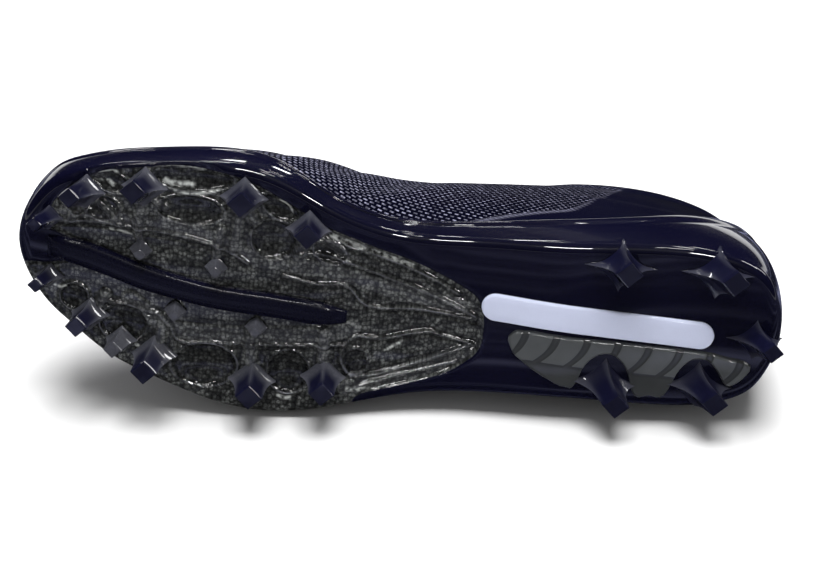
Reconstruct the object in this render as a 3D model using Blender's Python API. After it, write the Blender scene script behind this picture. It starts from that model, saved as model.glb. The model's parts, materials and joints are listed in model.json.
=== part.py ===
"""American football cleat, right shoe, lying on its outer side.

Metres, +Z up. The shoe is worked out standing on its studs, with the toe at -X, the heel at +X,
the outer (lateral) side at +Y and the inner (medial) side at -Y. One empty carries every piece and
lays the shoe down on its outer side, with the sole facing -Y. The origin is then at the middle of
the lying shoe's base.
"""

import math

import bmesh
import bpy
import numpy as np
from mathutils import Matrix, Vector

# Driving dimensions
LENGTH = 0.300            # toe tip to heel back, over the sole shell
BALL_WIDTH = 0.106        # widest part of the sole shell
HEEL_WIDTH = 0.070        # sole shell across the heel
TOE_HEIGHT = 0.050        # ground to the top of the toe box
INSTEP_HEIGHT = 0.104     # ground to the upper end of the throat
COLLAR_HEIGHT = 0.098     # ground to the collar at the heel
STUD_HEIGHT = 0.012       # plate to stud tip
PLATE = 0.003             # thickness of the sole plate
TOE_SPRING = 0.008        # rise of the plate at the toe
ARCH_RISE = 0.004         # rise of the plate at the waist
UPPER_WALL = 0.0018       # thickness of the upper
SHELL_WALL = 0.0018       # thickness of the sole shell's rim and heel cup
INSOLE = 0.0035           # thickness of the insole
TONGUE = 0.0030           # thickness of the tongue
TONGUE_REACH = 0.036      # tongue beyond the upper end of the throat
TONGUE_RISE = 0.007       # how far the tongue's free end bends up
LACE_WIDTH = 0.0052
LACE_THICKNESS = 0.0012
LACE_SLACK = 0.0008       # spare height of the laces over the tongue
RIB_HEIGHT = 0.0022       # centre rib below the plate
BAR_THICKNESS = 0.0010    # heel bar and heel panel below the plate
STUD_SIZE = 0.0095        # half of a main stud's base, corner to centre
CLEARANCE = 0.0003        # gap between neighbouring pieces
TONGUE_GAP = 0.0005       # gap between the tongue and the upper

# Places along the shoe, as shares of LENGTH from the toe: where the toe spring starts, where the
# arch rises and falls, where the width runs from ball to heel, and where the heights are held
BALL_ALONG = 0.27
ARCH_UP, ARCH_DOWN = (0.38, 0.54), (0.56, 0.74)
WAIST_START, WAIST_END = 0.40, 0.70
VAMP_ALONG, INSTEP_ALONG, COLLAR_ALONG = 0.30, 0.64, 0.90
# Height at the front of the throat, as a share of TOE_HEIGHT
VAMP = 1.50
# Where the toe tip lies across the shoe, as a share of the ball width
TOE_ACROSS = -0.123
# How far in from its outline the plate's bottom edge is rounded
EDGE_ROUND = 0.0045
# Points between two neighbouring rows of the tables below
STEPS = 3
# Mesh rows of the upper, from the plate to the collar
UPPER_ROWS = 9
# Mesh rows of the sole shell's rim and heel cup
RIM_ROWS = 5

# Outline of the sole shell. along is a share of LENGTH from the toe; inner and outer are half
# widths as shares of the local width, which runs from BALL_WIDTH to HEEL_WIDTH; rim is the height
# of the shell's rim above the plate as a share of COLLAR_HEIGHT.
OUTLINE_COLUMNS = ("along", "inner", "outer", "rim")
OUTLINE = (
    (0.000, 0.000, 0.000, 0.105),
    (0.030, 0.332, 0.088, 0.105),
    (0.070, 0.414, 0.193, 0.100),
    (0.120, 0.459, 0.297, 0.095),
    (0.180, 0.488, 0.373, 0.090),
    (0.260, 0.508, 0.452, 0.085),
    (0.330, 0.474, 0.481, 0.075),
    (0.400, 0.376, 0.458, 0.055),
    (0.480, 0.311, 0.431, 0.038),
    (0.560, 0.342, 0.447, 0.045),
    (0.660, 0.432, 0.501, 0.085),
    (0.780, 0.479, 0.500, 0.160),
    (0.880, 0.486, 0.493, 0.270),
    (0.950, 0.414, 0.421, 0.400),
    (0.985, 0.264, 0.271, 0.500),
    (1.000, 0.000, 0.000, 0.540),
)

# Opening of the upper, one row for each row of OUTLINE. along is a share of LENGTH; half is the
# half width of the opening as a share of BALL_WIDTH; height is a share of the local height, which
# runs from TOE_HEIGHT over INSTEP_HEIGHT to COLLAR_HEIGHT; ridge is the middle of the opening
# across the shoe, as a share of BALL_WIDTH.
OPENING_COLUMNS = ("along", "half", "height", "ridge")
OPENING = (
    (0.350, 0.000, 0.900, -0.070),
    (0.353, 0.045, 0.900, -0.070),
    (0.361, 0.078, 0.895, -0.069),
    (0.373, 0.096, 0.890, -0.067),
    (0.391, 0.104, 0.885, -0.064),
    (0.428, 0.108, 0.885, -0.058),
    (0.470, 0.112, 0.890, -0.048),
    (0.518, 0.116, 0.905, -0.036),
    (0.570, 0.124, 0.935, -0.024),
    (0.625, 0.146, 0.965, -0.012),
    (0.690, 0.190, 0.960, -0.004),
    (0.768, 0.232, 0.935, 0.000),
    (0.850, 0.230, 0.925, 0.000),
    (0.915, 0.178, 0.945, 0.000),
    (0.955, 0.102, 0.975, 0.000),
    (0.970, 0.000, 0.985, 0.000),
)

# Profile of the upper's side, one row for each row of OUTLINE. belly is how far the side leans out
# above the plate and shoulder how far it leans out below the opening, as shares of BALL_WIDTH;
# lift is the belly's height and drop the shoulder's, as shares of TOE_HEIGHT.
SIDE_COLUMNS = ("belly_inner", "belly_outer", "lift", "shoulder_inner", "shoulder_outer", "drop_inner", "drop_outer")
SIDES = (
    (0.034, 0.034, 0.60, 0.600, 0.600, 0.16, 0.16),
    (0.042, 0.042, 0.58, 0.560, 0.530, 0.15, 0.18),
    (0.050, 0.046, 0.55, 0.480, 0.460, 0.14, 0.22),
    (0.058, 0.050, 0.50, 0.410, 0.400, 0.13, 0.26),
    (0.066, 0.052, 0.45, 0.350, 0.350, 0.13, 0.27),
    (0.074, 0.054, 0.40, 0.290, 0.305, 0.15, 0.29),
    (0.100, 0.056, 0.40, 0.270, 0.295, 0.17, 0.30),
    (0.156, 0.062, 0.40, 0.285, 0.285, 0.21, 0.34),
    (0.185, 0.082, 0.38, 0.285, 0.270, 0.30, 0.42),
    (0.165, 0.092, 0.38, 0.260, 0.240, 0.42, 0.52),
    (0.115, 0.078, 0.38, 0.185, 0.180, 0.55, 0.60),
    (0.062, 0.056, 0.38, 0.105, 0.105, 0.62, 0.64),
    (0.050, 0.046, 0.38, 0.095, 0.095, 0.66, 0.66),
    (0.048, 0.044, 0.38, 0.095, 0.095, 0.70, 0.70),
    (0.046, 0.046, 0.38, 0.085, 0.085, 0.74, 0.74),
    (0.046, 0.046, 0.38, 0.075, 0.075, 0.76, 0.76),
)

# Studs. along is a share of LENGTH; across runs from 0 at the inner edge of the plate's flat to 1
# at its outer edge; size is a share of STUD_SIZE; tall a share of STUD_HEIGHT; lean the tip's
# shift away from the middle of the shoe, as a share of the stud's size.
STUD_COLUMNS = ("name", "along", "across", "size", "tall", "lean")
STUDS = (
    ("stud_toe_inner", 0.040, 0.22, 0.58, 0.80, 0.80),
    ("stud_toe_outer", 0.043, 0.85, 0.58, 0.80, 0.80),
    ("stud_inner_1", 0.087, 0.08, 0.80, 0.95, 0.70),
    ("stud_inner_2", 0.162, 0.07, 0.95, 1.00, 0.45),
    ("stud_inner_3", 0.289, 0.09, 1.00, 1.00, 0.20),
    ("stud_inner_4", 0.374, 0.11, 0.95, 1.00, 0.20),
    ("stud_outer_1", 0.098, 0.90, 0.80, 0.90, 0.60),
    ("stud_outer_2", 0.140, 0.93, 0.66, 0.62, 0.50),
    ("stud_outer_3", 0.184, 0.93, 0.95, 0.98, 0.45),
    ("stud_outer_4", 0.314, 0.90, 1.00, 1.00, 0.20),
    ("stud_outer_5", 0.407, 0.87, 0.95, 1.00, 0.20),
    ("stud_centre_1", 0.161, 0.40, 0.48, 0.42, 0.00),
    ("stud_centre_2", 0.259, 0.42, 0.48, 0.42, 0.00),
    ("stud_centre_3", 0.209, 0.67, 0.48, 0.42, 0.00),
    ("stud_centre_4", 0.315, 0.65, 0.48, 0.42, 0.00),
    ("stud_heel_inner_1", 0.779, 0.08, 1.00, 1.00, 0.30),
    ("stud_heel_inner_2", 0.905, 0.07, 1.00, 1.00, 0.60),
    ("stud_heel_outer_1", 0.776, 0.92, 1.00, 1.00, 0.70),
    ("stud_heel_outer_2", 0.899, 0.91, 1.00, 1.00, 0.70),
    ("stud_heel_back", 0.966, 0.55, 0.80, 0.95, 0.75),
)

# Bands of a stud. down runs from 0 at the plate to 1 at the tip; corner and hollow are the reach of
# its four corners and of its four hollow sides, as shares of the stud's size.
BAND_COLUMNS = ("down", "corner", "hollow")
STUD_BANDS = (
    (0.00, 1.00, 0.50),
    (0.16, 0.78, 0.46),
    (0.60, 0.58, 0.40),
    (1.00, 0.50, 0.36),
)
# Mitre of a strip's long edges, as a share of its thickness
STRIP_MITRE = 0.35
# Largest step between two sections of a strip, as a share of LENGTH
STRIP_STEP = 0.025
# Corners and hollows around a stud
STUD_SIDES = 8
# How much more the studs at toe and heel lean along the shoe than across it
LEAN_ENDS = 4.0
# Smallest share of its size that a stud's root keeps at the plate's edge
ROOT_LEAST = 0.30

# Centre rib, heel bar and heel panel on the plate. along is a share of LENGTH, across of
# BALL_WIDTH and half, the half width, of BALL_WIDTH too.
STRIP_COLUMNS = ("along", "across", "half")
CENTRE_RIB = (
    (0.040, -0.111, 0.040),
    (0.080, -0.100, 0.050),
    (0.120, -0.072, 0.050),
    (0.162, -0.036, 0.050),
    (0.200, -0.012, 0.048),
    (0.258, 0.018, 0.046),
    (0.340, 0.038, 0.045),
    (0.400, 0.055, 0.042),
    (0.432, 0.064, 0.024),
)
HEEL_BAR = (
    (0.606, -0.018, 0.026),
    (0.612, -0.017, 0.044),
    (0.625, -0.016, 0.054),
    (0.680, -0.008, 0.054),
    (0.740, 0.000, 0.054),
    (0.800, 0.008, 0.054),
    (0.860, 0.016, 0.054),
    (0.893, 0.021, 0.054),
    (0.906, 0.023, 0.044),
    (0.912, 0.023, 0.026),
)
HEEL_PANEL = (
    (0.648, 0.106, 0.017),
    (0.665, 0.123, 0.061),
    (0.700, 0.155, 0.090),
    (0.726, 0.169, 0.101),
    (0.738, 0.167, 0.098),
    (0.748, 0.127, 0.057),
    (0.776, 0.105, 0.033),
    (0.804, 0.129, 0.055),
    (0.814, 0.169, 0.095),
    (0.838, 0.175, 0.099),
    (0.862, 0.167, 0.088),
    (0.872, 0.130, 0.050),
    (0.899, 0.105, 0.021),
    (0.926, 0.134, 0.035),
    (0.936, 0.155, 0.053),
    (0.952, 0.150, 0.043),
    (0.964, 0.142, 0.023),
)

# Laces: rows of eyelets as shares of LENGTH at the opening, the eyelets' place on the upper as a
# share of the way from the plate to the opening, and how high the tongue arches in the throat.
EYELETS = (0.385, 0.432, 0.480, 0.528, 0.576, 0.618)
EYELET_LEVEL = 0.935
TONGUE_CROWN = 0.0012
# Mesh rows of the upper that the tongue's sides reach under
TONGUE_SIDE_ROWS = 2
# Rows of OPENING between which the tongue lies in the throat
TONGUE_START, TONGUE_END = 2, 9
# Sections of the tongue's free end, as shares of TONGUE_REACH, and its width at the very end
TONGUE_TIP = (0.18, 0.38, 0.58, 0.78, 0.92, 1.0)
TONGUE_TIP_WIDTH = 0.08
# A lace strip's way from its eyelet: over the throat's edge, across the tongue, and its end, as
# shares of the way to the next eyelet, and how far its end lies from the tongue's edge
LACE_EDGE = 0.10
LACE_ACROSS = (0.30, 0.43, 0.55)
LACE_END = 0.62
LACE_INSET = 0.25


def column(table, columns, name):
    """One named column of a table, as an array."""
    return np.array([row[columns.index(name)] for row in table], float)


def blend(x, start, end):
    """Smooth step from 0 at start to 1 at end."""
    s = np.clip((np.asarray(x, float) - start) / (end - start), 0.0, 1.0)
    return s * s * (3.0 - 2.0 * s)


def local_width(along):
    """Width that the outline's shares are of: the ball's in front, the heel's behind."""
    return BALL_WIDTH + (HEEL_WIDTH - BALL_WIDTH) * blend(along, WAIST_START, WAIST_END)


def local_height(along):
    """Height that the opening's shares are of: toe box, instep, then collar."""
    vamp = VAMP * TOE_HEIGHT
    front = vamp + (INSTEP_HEIGHT - vamp) * blend(along, VAMP_ALONG, INSTEP_ALONG)
    return front + (COLLAR_HEIGHT - front) * blend(along, INSTEP_ALONG, COLLAR_ALONG)


def plate_bottom(x):
    """Height of the plate's underside above the ground, at x along the shoe."""
    along = np.asarray(x, float) / LENGTH + 0.5
    toe = TOE_SPRING * np.clip((BALL_ALONG - along) / BALL_ALONG, 0.0, None) ** 2
    arch = ARCH_RISE * blend(along, *ARCH_UP) * (1.0 - blend(along, *ARCH_DOWN))
    return STUD_HEIGHT + toe + arch


def closed_spline(points, steps):
    """Smooth closed curve through rows of points, steps points to each span."""
    points = np.asarray(points, float)
    n = len(points)
    flat = points.reshape(n, -1)
    matrix = 4.0 * np.eye(n) + np.roll(np.eye(n), 1, axis=0) + np.roll(np.eye(n), -1, axis=0)
    slopes = np.linalg.solve(matrix, 3.0 * (np.roll(flat, -1, axis=0) - np.roll(flat, 1, axis=0)))
    out = []
    for i in range(n):
        a, b = flat[i], flat[(i + 1) % n]
        da, db = slopes[i], slopes[(i + 1) % n]
        for k in range(steps):
            t = k / steps
            h = ((2 * t - 3) * t * t + 1, (t - 2) * t * t + t, (3 - 2 * t) * t * t, (t - 1) * t * t)
            out.append(h[0] * a + h[1] * da + h[2] * b + h[3] * db)
    return np.array(out).reshape((n * steps,) + points.shape[1:])


def loop_rows(outer_side, inner_side):
    """Rows of both sides as one loop: toe, outer side, heel, inner side."""
    return np.concatenate([outer_side, inner_side[-2:0:-1]])


def outline_points(side):
    """Rows of the sole shell's outline on one side, +1 outer or -1 inner."""
    along = column(OUTLINE, OUTLINE_COLUMNS, "along")
    share = column(OUTLINE, OUTLINE_COLUMNS, "outer" if side > 0 else "inner")
    across = side * share * local_width(along)
    across[0] = TOE_ACROSS * BALL_WIDTH
    return np.column_stack([(along - 0.5) * LENGTH, across])


def inset_loop(loop, distance):
    """A closed plan curve moved in by a distance."""
    tangent = np.roll(loop, -1, axis=0) - np.roll(loop, 1, axis=0)
    normal = np.column_stack([-tangent[:, 1], tangent[:, 0]])
    normal /= np.linalg.norm(normal, axis=1)[:, None]
    outward = np.sign(np.sum(normal * (loop - loop.mean(axis=0)), axis=1).sum())
    return loop - outward * distance * normal


def upper_rails():
    """The four control rails of the upper, as an array of loop row, rail and coordinate."""
    sides = {}
    for side in (1, -1):
        tag = "outer" if side > 0 else "inner"
        outline = outline_points(side)
        loop = loop_rows(outline_points(1), outline_points(-1))
        feather = inset_loop(loop, SHELL_WALL + CLEARANCE)
        count = len(OUTLINE)
        picks = [i if side > 0 else (len(loop) - i) % len(loop) for i in range(count)]
        feather = feather[picks]
        outward = outline - feather
        outward /= np.linalg.norm(outward, axis=1)[:, None]
        base = plate_bottom(feather[:, 0]) + PLATE + CLEARANCE
        along = column(OPENING, OPENING_COLUMNS, "along")
        half = column(OPENING, OPENING_COLUMNS, "half") * BALL_WIDTH
        ridge = column(OPENING, OPENING_COLUMNS, "ridge") * BALL_WIDTH
        top = np.column_stack([
            (along - 0.5) * LENGTH,
            ridge + side * half,
            column(OPENING, OPENING_COLUMNS, "height") * local_height(along),
        ])
        bottom = np.column_stack([feather, base])
        belly = bottom.copy()
        belly[:, :2] += outward * (column(SIDES, SIDE_COLUMNS, "belly_" + tag) * BALL_WIDTH)[:, None]
        belly[:, 2] += column(SIDES, SIDE_COLUMNS, "lift") * TOE_HEIGHT
        lead = bottom[:, :2] - top[:, :2]
        lead /= np.linalg.norm(lead, axis=1)[:, None]
        shoulder = top.copy()
        shoulder[:, :2] += lead * (column(SIDES, SIDE_COLUMNS, "shoulder_" + tag) * BALL_WIDTH)[:, None]
        shoulder[:, 2] -= column(SIDES, SIDE_COLUMNS, "drop_" + tag) * TOE_HEIGHT
        sides[side] = np.stack([bottom, belly, shoulder, top], axis=1)
    return loop_rows(sides[1], sides[-1])


RAILS = closed_spline(upper_rails(), STEPS)
RIMS = closed_spline(
    loop_rows(*[column(OUTLINE, OUTLINE_COLUMNS, "rim")[:, None]] * 2), STEPS)[:, 0] * COLLAR_HEIGHT
COUNT = len(RAILS)
HEEL_COLUMN = COUNT // 2


def upper_point(rails, level):
    """Points of the upper's outer face at one level, from 0 at the plate to 1 at the opening."""
    v = level[:, None] if np.ndim(level) else level
    u = 1.0 - v
    return (u ** 3 * rails[:, 0] + 3 * u * u * v * rails[:, 1]
            + 3 * u * v * v * rails[:, 2] + v ** 3 * rails[:, 3])


def upper_face(level, offset=0.0):
    """Loop of the upper's outer face at a level, moved outwards along its normal."""
    level = np.broadcast_to(np.asarray(level, float), (COUNT,)).copy()
    step = 0.01
    here = upper_point(RAILS, level)
    up = upper_point(RAILS, np.minimum(level + step, 1.0)) - upper_point(RAILS, np.maximum(level - step, 0.0))
    along = np.roll(here, -1, axis=0) - np.roll(here, 1, axis=0)
    normal = np.cross(up, along)
    normal /= np.linalg.norm(normal, axis=1)[:, None]
    return here + normal * offset


def rim_levels():
    """Level on the upper that the shell's rim reaches, for each column."""
    levels = np.linspace(0.0, 1.0, 101)
    out = []
    for k in range(COUNT):
        rails = np.repeat(RAILS[k:k + 1], len(levels), axis=0)
        heights = upper_point(rails, levels)[:, 2] - RAILS[k, 0, 2]
        out.append(np.interp(RIMS[k], heights, levels))
    return np.array(out)


def material(name, colour, roughness):
    """A plain surface of one colour."""
    mat = bpy.data.materials.new(name)
    mat.use_nodes = True
    shader = mat.node_tree.nodes["Principled BSDF"]
    shader.inputs["Base Color"].default_value = (*colour, 1.0)
    shader.inputs["Roughness"].default_value = roughness
    return mat


def face_out(bm):
    """Turn a closed body's faces outwards."""
    bmesh.ops.recalc_face_normals(bm, faces=bm.faces)
    if bm.calc_volume(signed=True) < 0.0:
        bmesh.ops.reverse_faces(bm, faces=bm.faces)


def add_object(name, bm, mat, parent):
    """Turn a closed bmesh into a named object under the shoe's empty."""
    bmesh.ops.remove_doubles(bm, verts=bm.verts, dist=1e-6)
    bmesh.ops.dissolve_degenerate(bm, edges=bm.edges, dist=1e-7)
    face_out(bm)
    mesh = bpy.data.meshes.new(name)
    bm.to_mesh(mesh)
    bm.free()
    mesh.shade_smooth()
    mesh.set_sharp_from_angle(angle=math.radians(40))
    mesh.materials.append(mat)
    obj = bpy.data.objects.new(name, mesh)
    bpy.context.scene.collection.objects.link(obj)
    obj.parent = parent
    return obj


def lattice(loops, stacked_closed=False):
    """Quads between neighbouring closed loops of points. Their stack may be closed too."""
    bm = bmesh.new()
    rows = [[bm.verts.new(p) for p in loop] for loop in loops]
    pairs = list(zip(rows, rows[1:]))
    if stacked_closed:
        pairs.append((rows[-1], rows[0]))
    for low, high in pairs:
        n = len(low)
        for i in range(n):
            j = (i + 1) % n
            bm.faces.new((low[i], low[j], high[j], high[i]))
    return bm, rows


def spine_loop():
    """The plate's middle line, with one point for each column of the outline."""
    low = upper_face(0.0)
    mirror = low[(-np.arange(COUNT)) % COUNT]
    middle = (low[:, :2] + mirror[:, :2]) / 2.0
    reach = 0.5 * LENGTH
    middle[:, 0] *= (reach - 2.0 * EDGE_ROUND) / reach
    return middle


def plate_loop(outer, spine, share, lift):
    """Loop on the flat of the plate: share 0 on the middle line, 1 at the outer loop."""
    plan = spine + (outer[:, :2] - spine) * share
    return np.column_stack([plan, plate_bottom(plan[:, 0]) + lift])


def build_outsole(mat, parent):
    """Plate, rounded edge, rim and heel cup as one moulded shell."""
    levels = rim_levels()
    out = SHELL_WALL + CLEARANCE
    spine = spine_loop()
    wall_foot = upper_face(0.0, out)
    flat_edge = wall_foot.copy()
    flat_edge[:, :2] = inset_loop(wall_foot[:, :2], EDGE_ROUND)
    flat_edge[:, 2] = plate_bottom(flat_edge[:, 0])
    corner = wall_foot.copy()
    corner[:, 2] = plate_bottom(corner[:, 0])
    loops = [plate_loop(flat_edge, spine, s, 0.0) for s in (0.0, 0.5)]
    loops.append(flat_edge)
    for t in (0.35, 0.70):
        loops.append((1 - t) ** 2 * flat_edge + 2 * t * (1 - t) * corner + t * t * wall_foot)
    for share in np.linspace(0.0, 1.0, RIM_ROWS + 1):
        loops.append(upper_face(levels * share, out))
    for share in np.linspace(1.0, 0.0, RIM_ROWS + 1):
        loops.append(upper_face(levels * share, CLEARANCE))
    bed_edge = upper_face(0.0, CLEARANCE)
    loops += [plate_loop(bed_edge, spine, s, PLATE) for s in (0.97, 0.5, 0.0)]
    bm = lattice(loops)[0]
    return add_object("outsole", bm, mat, parent)


def build_upper(mat, parent):
    """One hollow wall from the plate to the throat and collar, open above and below."""
    levels = np.linspace(0.0, 1.0, UPPER_ROWS + 1)
    loops = [upper_face(v) for v in levels]
    loops += [upper_face(v, -UPPER_WALL) for v in levels[::-1]]
    bm = lattice(loops, stacked_closed=True)[0]
    return add_object("upper", bm, mat, parent)


def build_insole(mat, parent):
    """Thin sheet on the plate, a clearance inside the upper's foot."""
    spine = spine_loop()
    edge = upper_face(0.0)
    edge[:, :2] = inset_loop(edge[:, :2], UPPER_WALL + 2.0 * CLEARANCE)
    low = PLATE + CLEARANCE
    loops = [plate_loop(edge, spine, s, low) for s in (0.0, 1.0)]
    loops += [plate_loop(edge, spine, s, low + INSOLE) for s in (1.0, 0.0)]
    bm = lattice(loops)[0]
    return add_object("insole", bm, mat, parent)


def face_at(along, side, level, offset):
    """One point of the upper's face, by its place along the opening."""
    top = RAILS[:HEEL_COLUMN + 1, 3, 0] / LENGTH + 0.5
    place = float(np.interp(along, top, np.arange(HEEL_COLUMN + 1)))
    low = int(place)
    loop = upper_face(level, offset)
    picks = [k if side > 0 else (COUNT - k) % COUNT for k in (low, min(low + 1, HEEL_COLUMN))]
    share = place - low
    return loop[picks[0]] * (1.0 - share) + loop[picks[1]] * share


def tongue_row(along, depth):
    """Points across the tongue at one place of the throat, a depth below the upper's outer face."""
    sides = {}
    for side in (1, -1):
        levels = [1.0 - k / UPPER_ROWS for k in range(TONGUE_SIDE_ROWS, -1, -1)]
        sides[side] = [face_at(along, side, v, -depth) for v in levels]
    outer_edge, inner_edge = sides[1][-1], sides[-1][-1]
    arch = []
    for t in (0.25, 0.5, 0.75):
        point = outer_edge * (1 - t) + inner_edge * t
        point[2] += 4.0 * t * (1 - t) * TONGUE_CROWN
        arch.append(point)
    return np.array(sides[1] + arch + sides[-1][::-1])


def build_tongue(mat, parent):
    """Curved sheet under the throat, with a free rounded end above the collar."""
    outer = []
    inner = []
    for k in range(TONGUE_START * STEPS, TONGUE_END * STEPS + 1):
        along = RAILS[k, 3, 0] / LENGTH + 0.5
        outer.append(tongue_row(along, UPPER_WALL + TONGUE_GAP))
        inner.append(tongue_row(along, UPPER_WALL + TONGUE_GAP + TONGUE))
    lead = outer[-1].mean(axis=0) - outer[-STEPS].mean(axis=0)
    lead /= np.linalg.norm(lead)
    last_outer, last_inner = outer[-1], inner[-1]
    middle = last_outer.mean(axis=0)
    for t in TONGUE_TIP:
        width = math.sqrt(1.0 - t ** 3) * (1.0 - TONGUE_TIP_WIDTH) + TONGUE_TIP_WIDTH
        move = lead * TONGUE_REACH * t + np.array([0.0, 0.0, TONGUE_RISE * t * t])
        for stack, base in ((outer, last_outer), (inner, last_inner)):
            row = base + move
            row[:, 1] = middle[1] + (base[:, 1] - middle[1]) * width
            stack.append(row)
    loops = [np.concatenate([a, b[::-1]]) for a, b in zip(outer, inner)]
    bm, made = lattice(loops)
    for row in (made[0], made[-1]):
        for i in range(len(row) // 2 - 1):
            bm.faces.new((row[i], row[i + 1], row[-2 - i], row[-1 - i]))
    return add_object("tongue", bm, mat, parent)


def ribbon(path, width_lead, name):
    """Flat strip along a path of points, with its width along a given direction."""
    path = np.array(path, float)
    across = np.array(width_lead, float)
    across /= np.linalg.norm(across)
    loops = []
    for i, point in enumerate(path):
        tangent = path[min(i + 1, len(path) - 1)] - path[max(i - 1, 0)]
        side = across - tangent * np.dot(across, tangent) / np.dot(tangent, tangent)
        side /= np.linalg.norm(side)
        up = np.cross(tangent, side)
        up /= np.linalg.norm(up)
        half, rise = side * LACE_WIDTH / 2, up * LACE_THICKNESS / 2
        loops.append([point - half - rise, point + half - rise, point + half + rise, point - half + rise])
    bm, made = lattice(loops)
    bm.faces.new(made[0])
    bm.faces.new(made[-1])
    face_out(bm)
    mesh = bpy.data.meshes.new(name)
    bm.to_mesh(mesh)
    bm.free()
    return mesh


def lace_path(low, high, side):
    """Path of one strip from an eyelet over the throat's edge to the tongue's other side."""
    over = CLEARANCE + LACE_THICKNESS
    lift = CLEARANCE + LACE_THICKNESS / 2 + LACE_SLACK
    start = face_at(low, side, EYELET_LEVEL, over)
    edge = face_at(low + LACE_EDGE * (high - low), side, 1.0, over)
    path = [start, edge]
    edge_pick = TONGUE_SIDE_ROWS
    last_pick = 2 * TONGUE_SIDE_ROWS + 4
    for pick, share in enumerate(LACE_ACROSS, 1):
        row = tongue_row(low + share * (high - low), UPPER_WALL + TONGUE_GAP)
        pick += edge_pick
        point = row[pick if side > 0 else last_pick - pick].copy()
        point[2] += lift
        path.append(point)
    row = tongue_row(low + LACE_END * (high - low), UPPER_WALL + TONGUE_GAP)
    far, near = edge_pick + 4, edge_pick + 3
    if side < 0:
        far, near = last_pick - far, last_pick - near
    last = (1.0 - LACE_INSET) * row[far] + LACE_INSET * row[near]
    last[2] += lift
    path.append(last)
    return path


def build_laces(mat, parent):
    """Crossings over the tongue, each one joined solid of two strips."""
    for i, (low, high) in enumerate(zip(EYELETS, EYELETS[1:])):
        middle = TONGUE_SIDE_ROWS + 2
        lead = tongue_row(high, 0.0)[middle] - tongue_row(low, 0.0)[middle]
        strips = []
        for side in (1, -1):
            path = lace_path(low, high, side)
            strips.append(ribbon(path, lead, "lace_strip"))
        obj = bpy.data.objects.new("lace_crossing_%d" % (i + 1), strips[0])
        bpy.context.scene.collection.objects.link(obj)
        other = bpy.data.objects.new("lace_partner_%d" % (i + 1), strips[1])
        bpy.context.scene.collection.objects.link(other)
        other.hide_render = True
        other.display_type = "WIRE"
        join = obj.modifiers.new("join", "BOOLEAN")
        join.operation = "UNION"
        join.object = other
        for piece in (obj, other):
            piece.parent = parent
            piece.data.materials.append(mat)


def strip_on_plate(name, table, thickness, mat, parent):
    """Raised strip under the plate that follows the plate's curve."""
    along = column(table, STRIP_COLUMNS, "along")
    across = column(table, STRIP_COLUMNS, "across") * BALL_WIDTH
    half = column(table, STRIP_COLUMNS, "half") * BALL_WIDTH
    fine = np.unique(np.concatenate([along, np.arange(along[0], along[-1], STRIP_STEP)]))
    x = (fine - 0.5) * LENGTH
    middle = np.interp(fine, along, across)
    width = np.interp(fine, along, half)
    top = plate_bottom(x) - CLEARANCE
    edge = STRIP_MITRE * thickness
    loops = []
    for i in range(len(fine)):
        low = top[i] - thickness
        left, right = middle[i] - width[i], middle[i] + width[i]
        loops.append([
            (x[i], left, top[i]), (x[i], right, top[i]), (x[i], right - edge, low), (x[i], left + edge, low)])
    bm, made = lattice(loops)
    bm.faces.new(made[0])
    bm.faces.new(made[-1])
    return add_object(name, bm, mat, parent)


def flat_edge():
    """Closed plan curve around the flat of the plate."""
    return inset_loop(upper_face(0.0, SHELL_WALL + CLEARANCE)[:, :2], EDGE_ROUND)


def plate_edge(x, side):
    """Where the plate's flat ends at x, on one side."""
    loop = flat_edge()
    picks = np.arange(HEEL_COLUMN + 1)
    if side < 0:
        picks = (COUNT - picks) % COUNT
    return float(np.interp(x, loop[picks, 0], loop[picks, 1]))


def on_flat(x, y, loop):
    """True where a point lies inside a closed plan curve."""
    after = np.roll(loop, -1, axis=0)
    crosses = (loop[:, 1] > y) != (after[:, 1] > y)
    rise = np.where(crosses, after[:, 1] - loop[:, 1], 1.0)
    cut = loop[:, 0] + (y - loop[:, 1]) * (after[:, 0] - loop[:, 0]) / rise
    return bool(np.sum(crosses & (cut > x)) % 2)


def root_reach(x, y, angle, radius, loop):
    """Radius of a stud's root in one direction, kept on the flat of the plate."""
    for share in np.linspace(1.0, ROOT_LEAST, 15):
        if on_flat(x + share * radius * math.cos(angle), y + share * radius * math.sin(angle), loop):
            return share * radius
    return ROOT_LEAST * radius


def build_stud(row, mat, parent):
    """Four-cornered stud with hollow sides that flares into fins at its root."""
    stud = dict(zip(STUD_COLUMNS, row))
    x = (stud["along"] - 0.5) * LENGTH
    inner, outer = plate_edge(x, -1), plate_edge(x, 1)
    y = inner + (outer - inner) * stud["across"]
    reach = stud["size"] * STUD_SIZE
    away = np.array([LEAN_ENDS * (stud["along"] - 0.5) ** 3 * LENGTH, y - 0.5 * (inner + outer)])
    away *= stud["lean"] * reach / np.linalg.norm(away)
    flat = flat_edge()
    root = plate_bottom(x) - CLEARANCE
    loops = []
    for band_row in STUD_BANDS:
        band = dict(zip(BAND_COLUMNS, band_row))
        share = band["down"]
        loop = []
        for k in range(STUD_SIDES):
            angle = k * 2.0 * math.pi / STUD_SIDES
            radius = reach * (band["corner"] if k % 2 == 0 else band["hollow"])
            if share == 0.0:
                radius = root_reach(x, y, angle, radius, flat)
            px = x + away[0] * share + radius * math.cos(angle)
            py = y + away[1] * share + radius * math.sin(angle)
            pz = root - share * stud["tall"] * STUD_HEIGHT if share else plate_bottom(px) - CLEARANCE
            loop.append((px, py, float(pz)))
        loops.append(loop)
    bm, made = lattice(loops)
    bm.faces.new(made[-1])
    root_middle = bm.verts.new((x, y, float(root)))
    for i in range(STUD_SIDES):
        bm.faces.new((made[0][i], made[0][(i + 1) % STUD_SIDES], root_middle))
    return add_object(stud["name"], bm, mat, parent)


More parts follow.
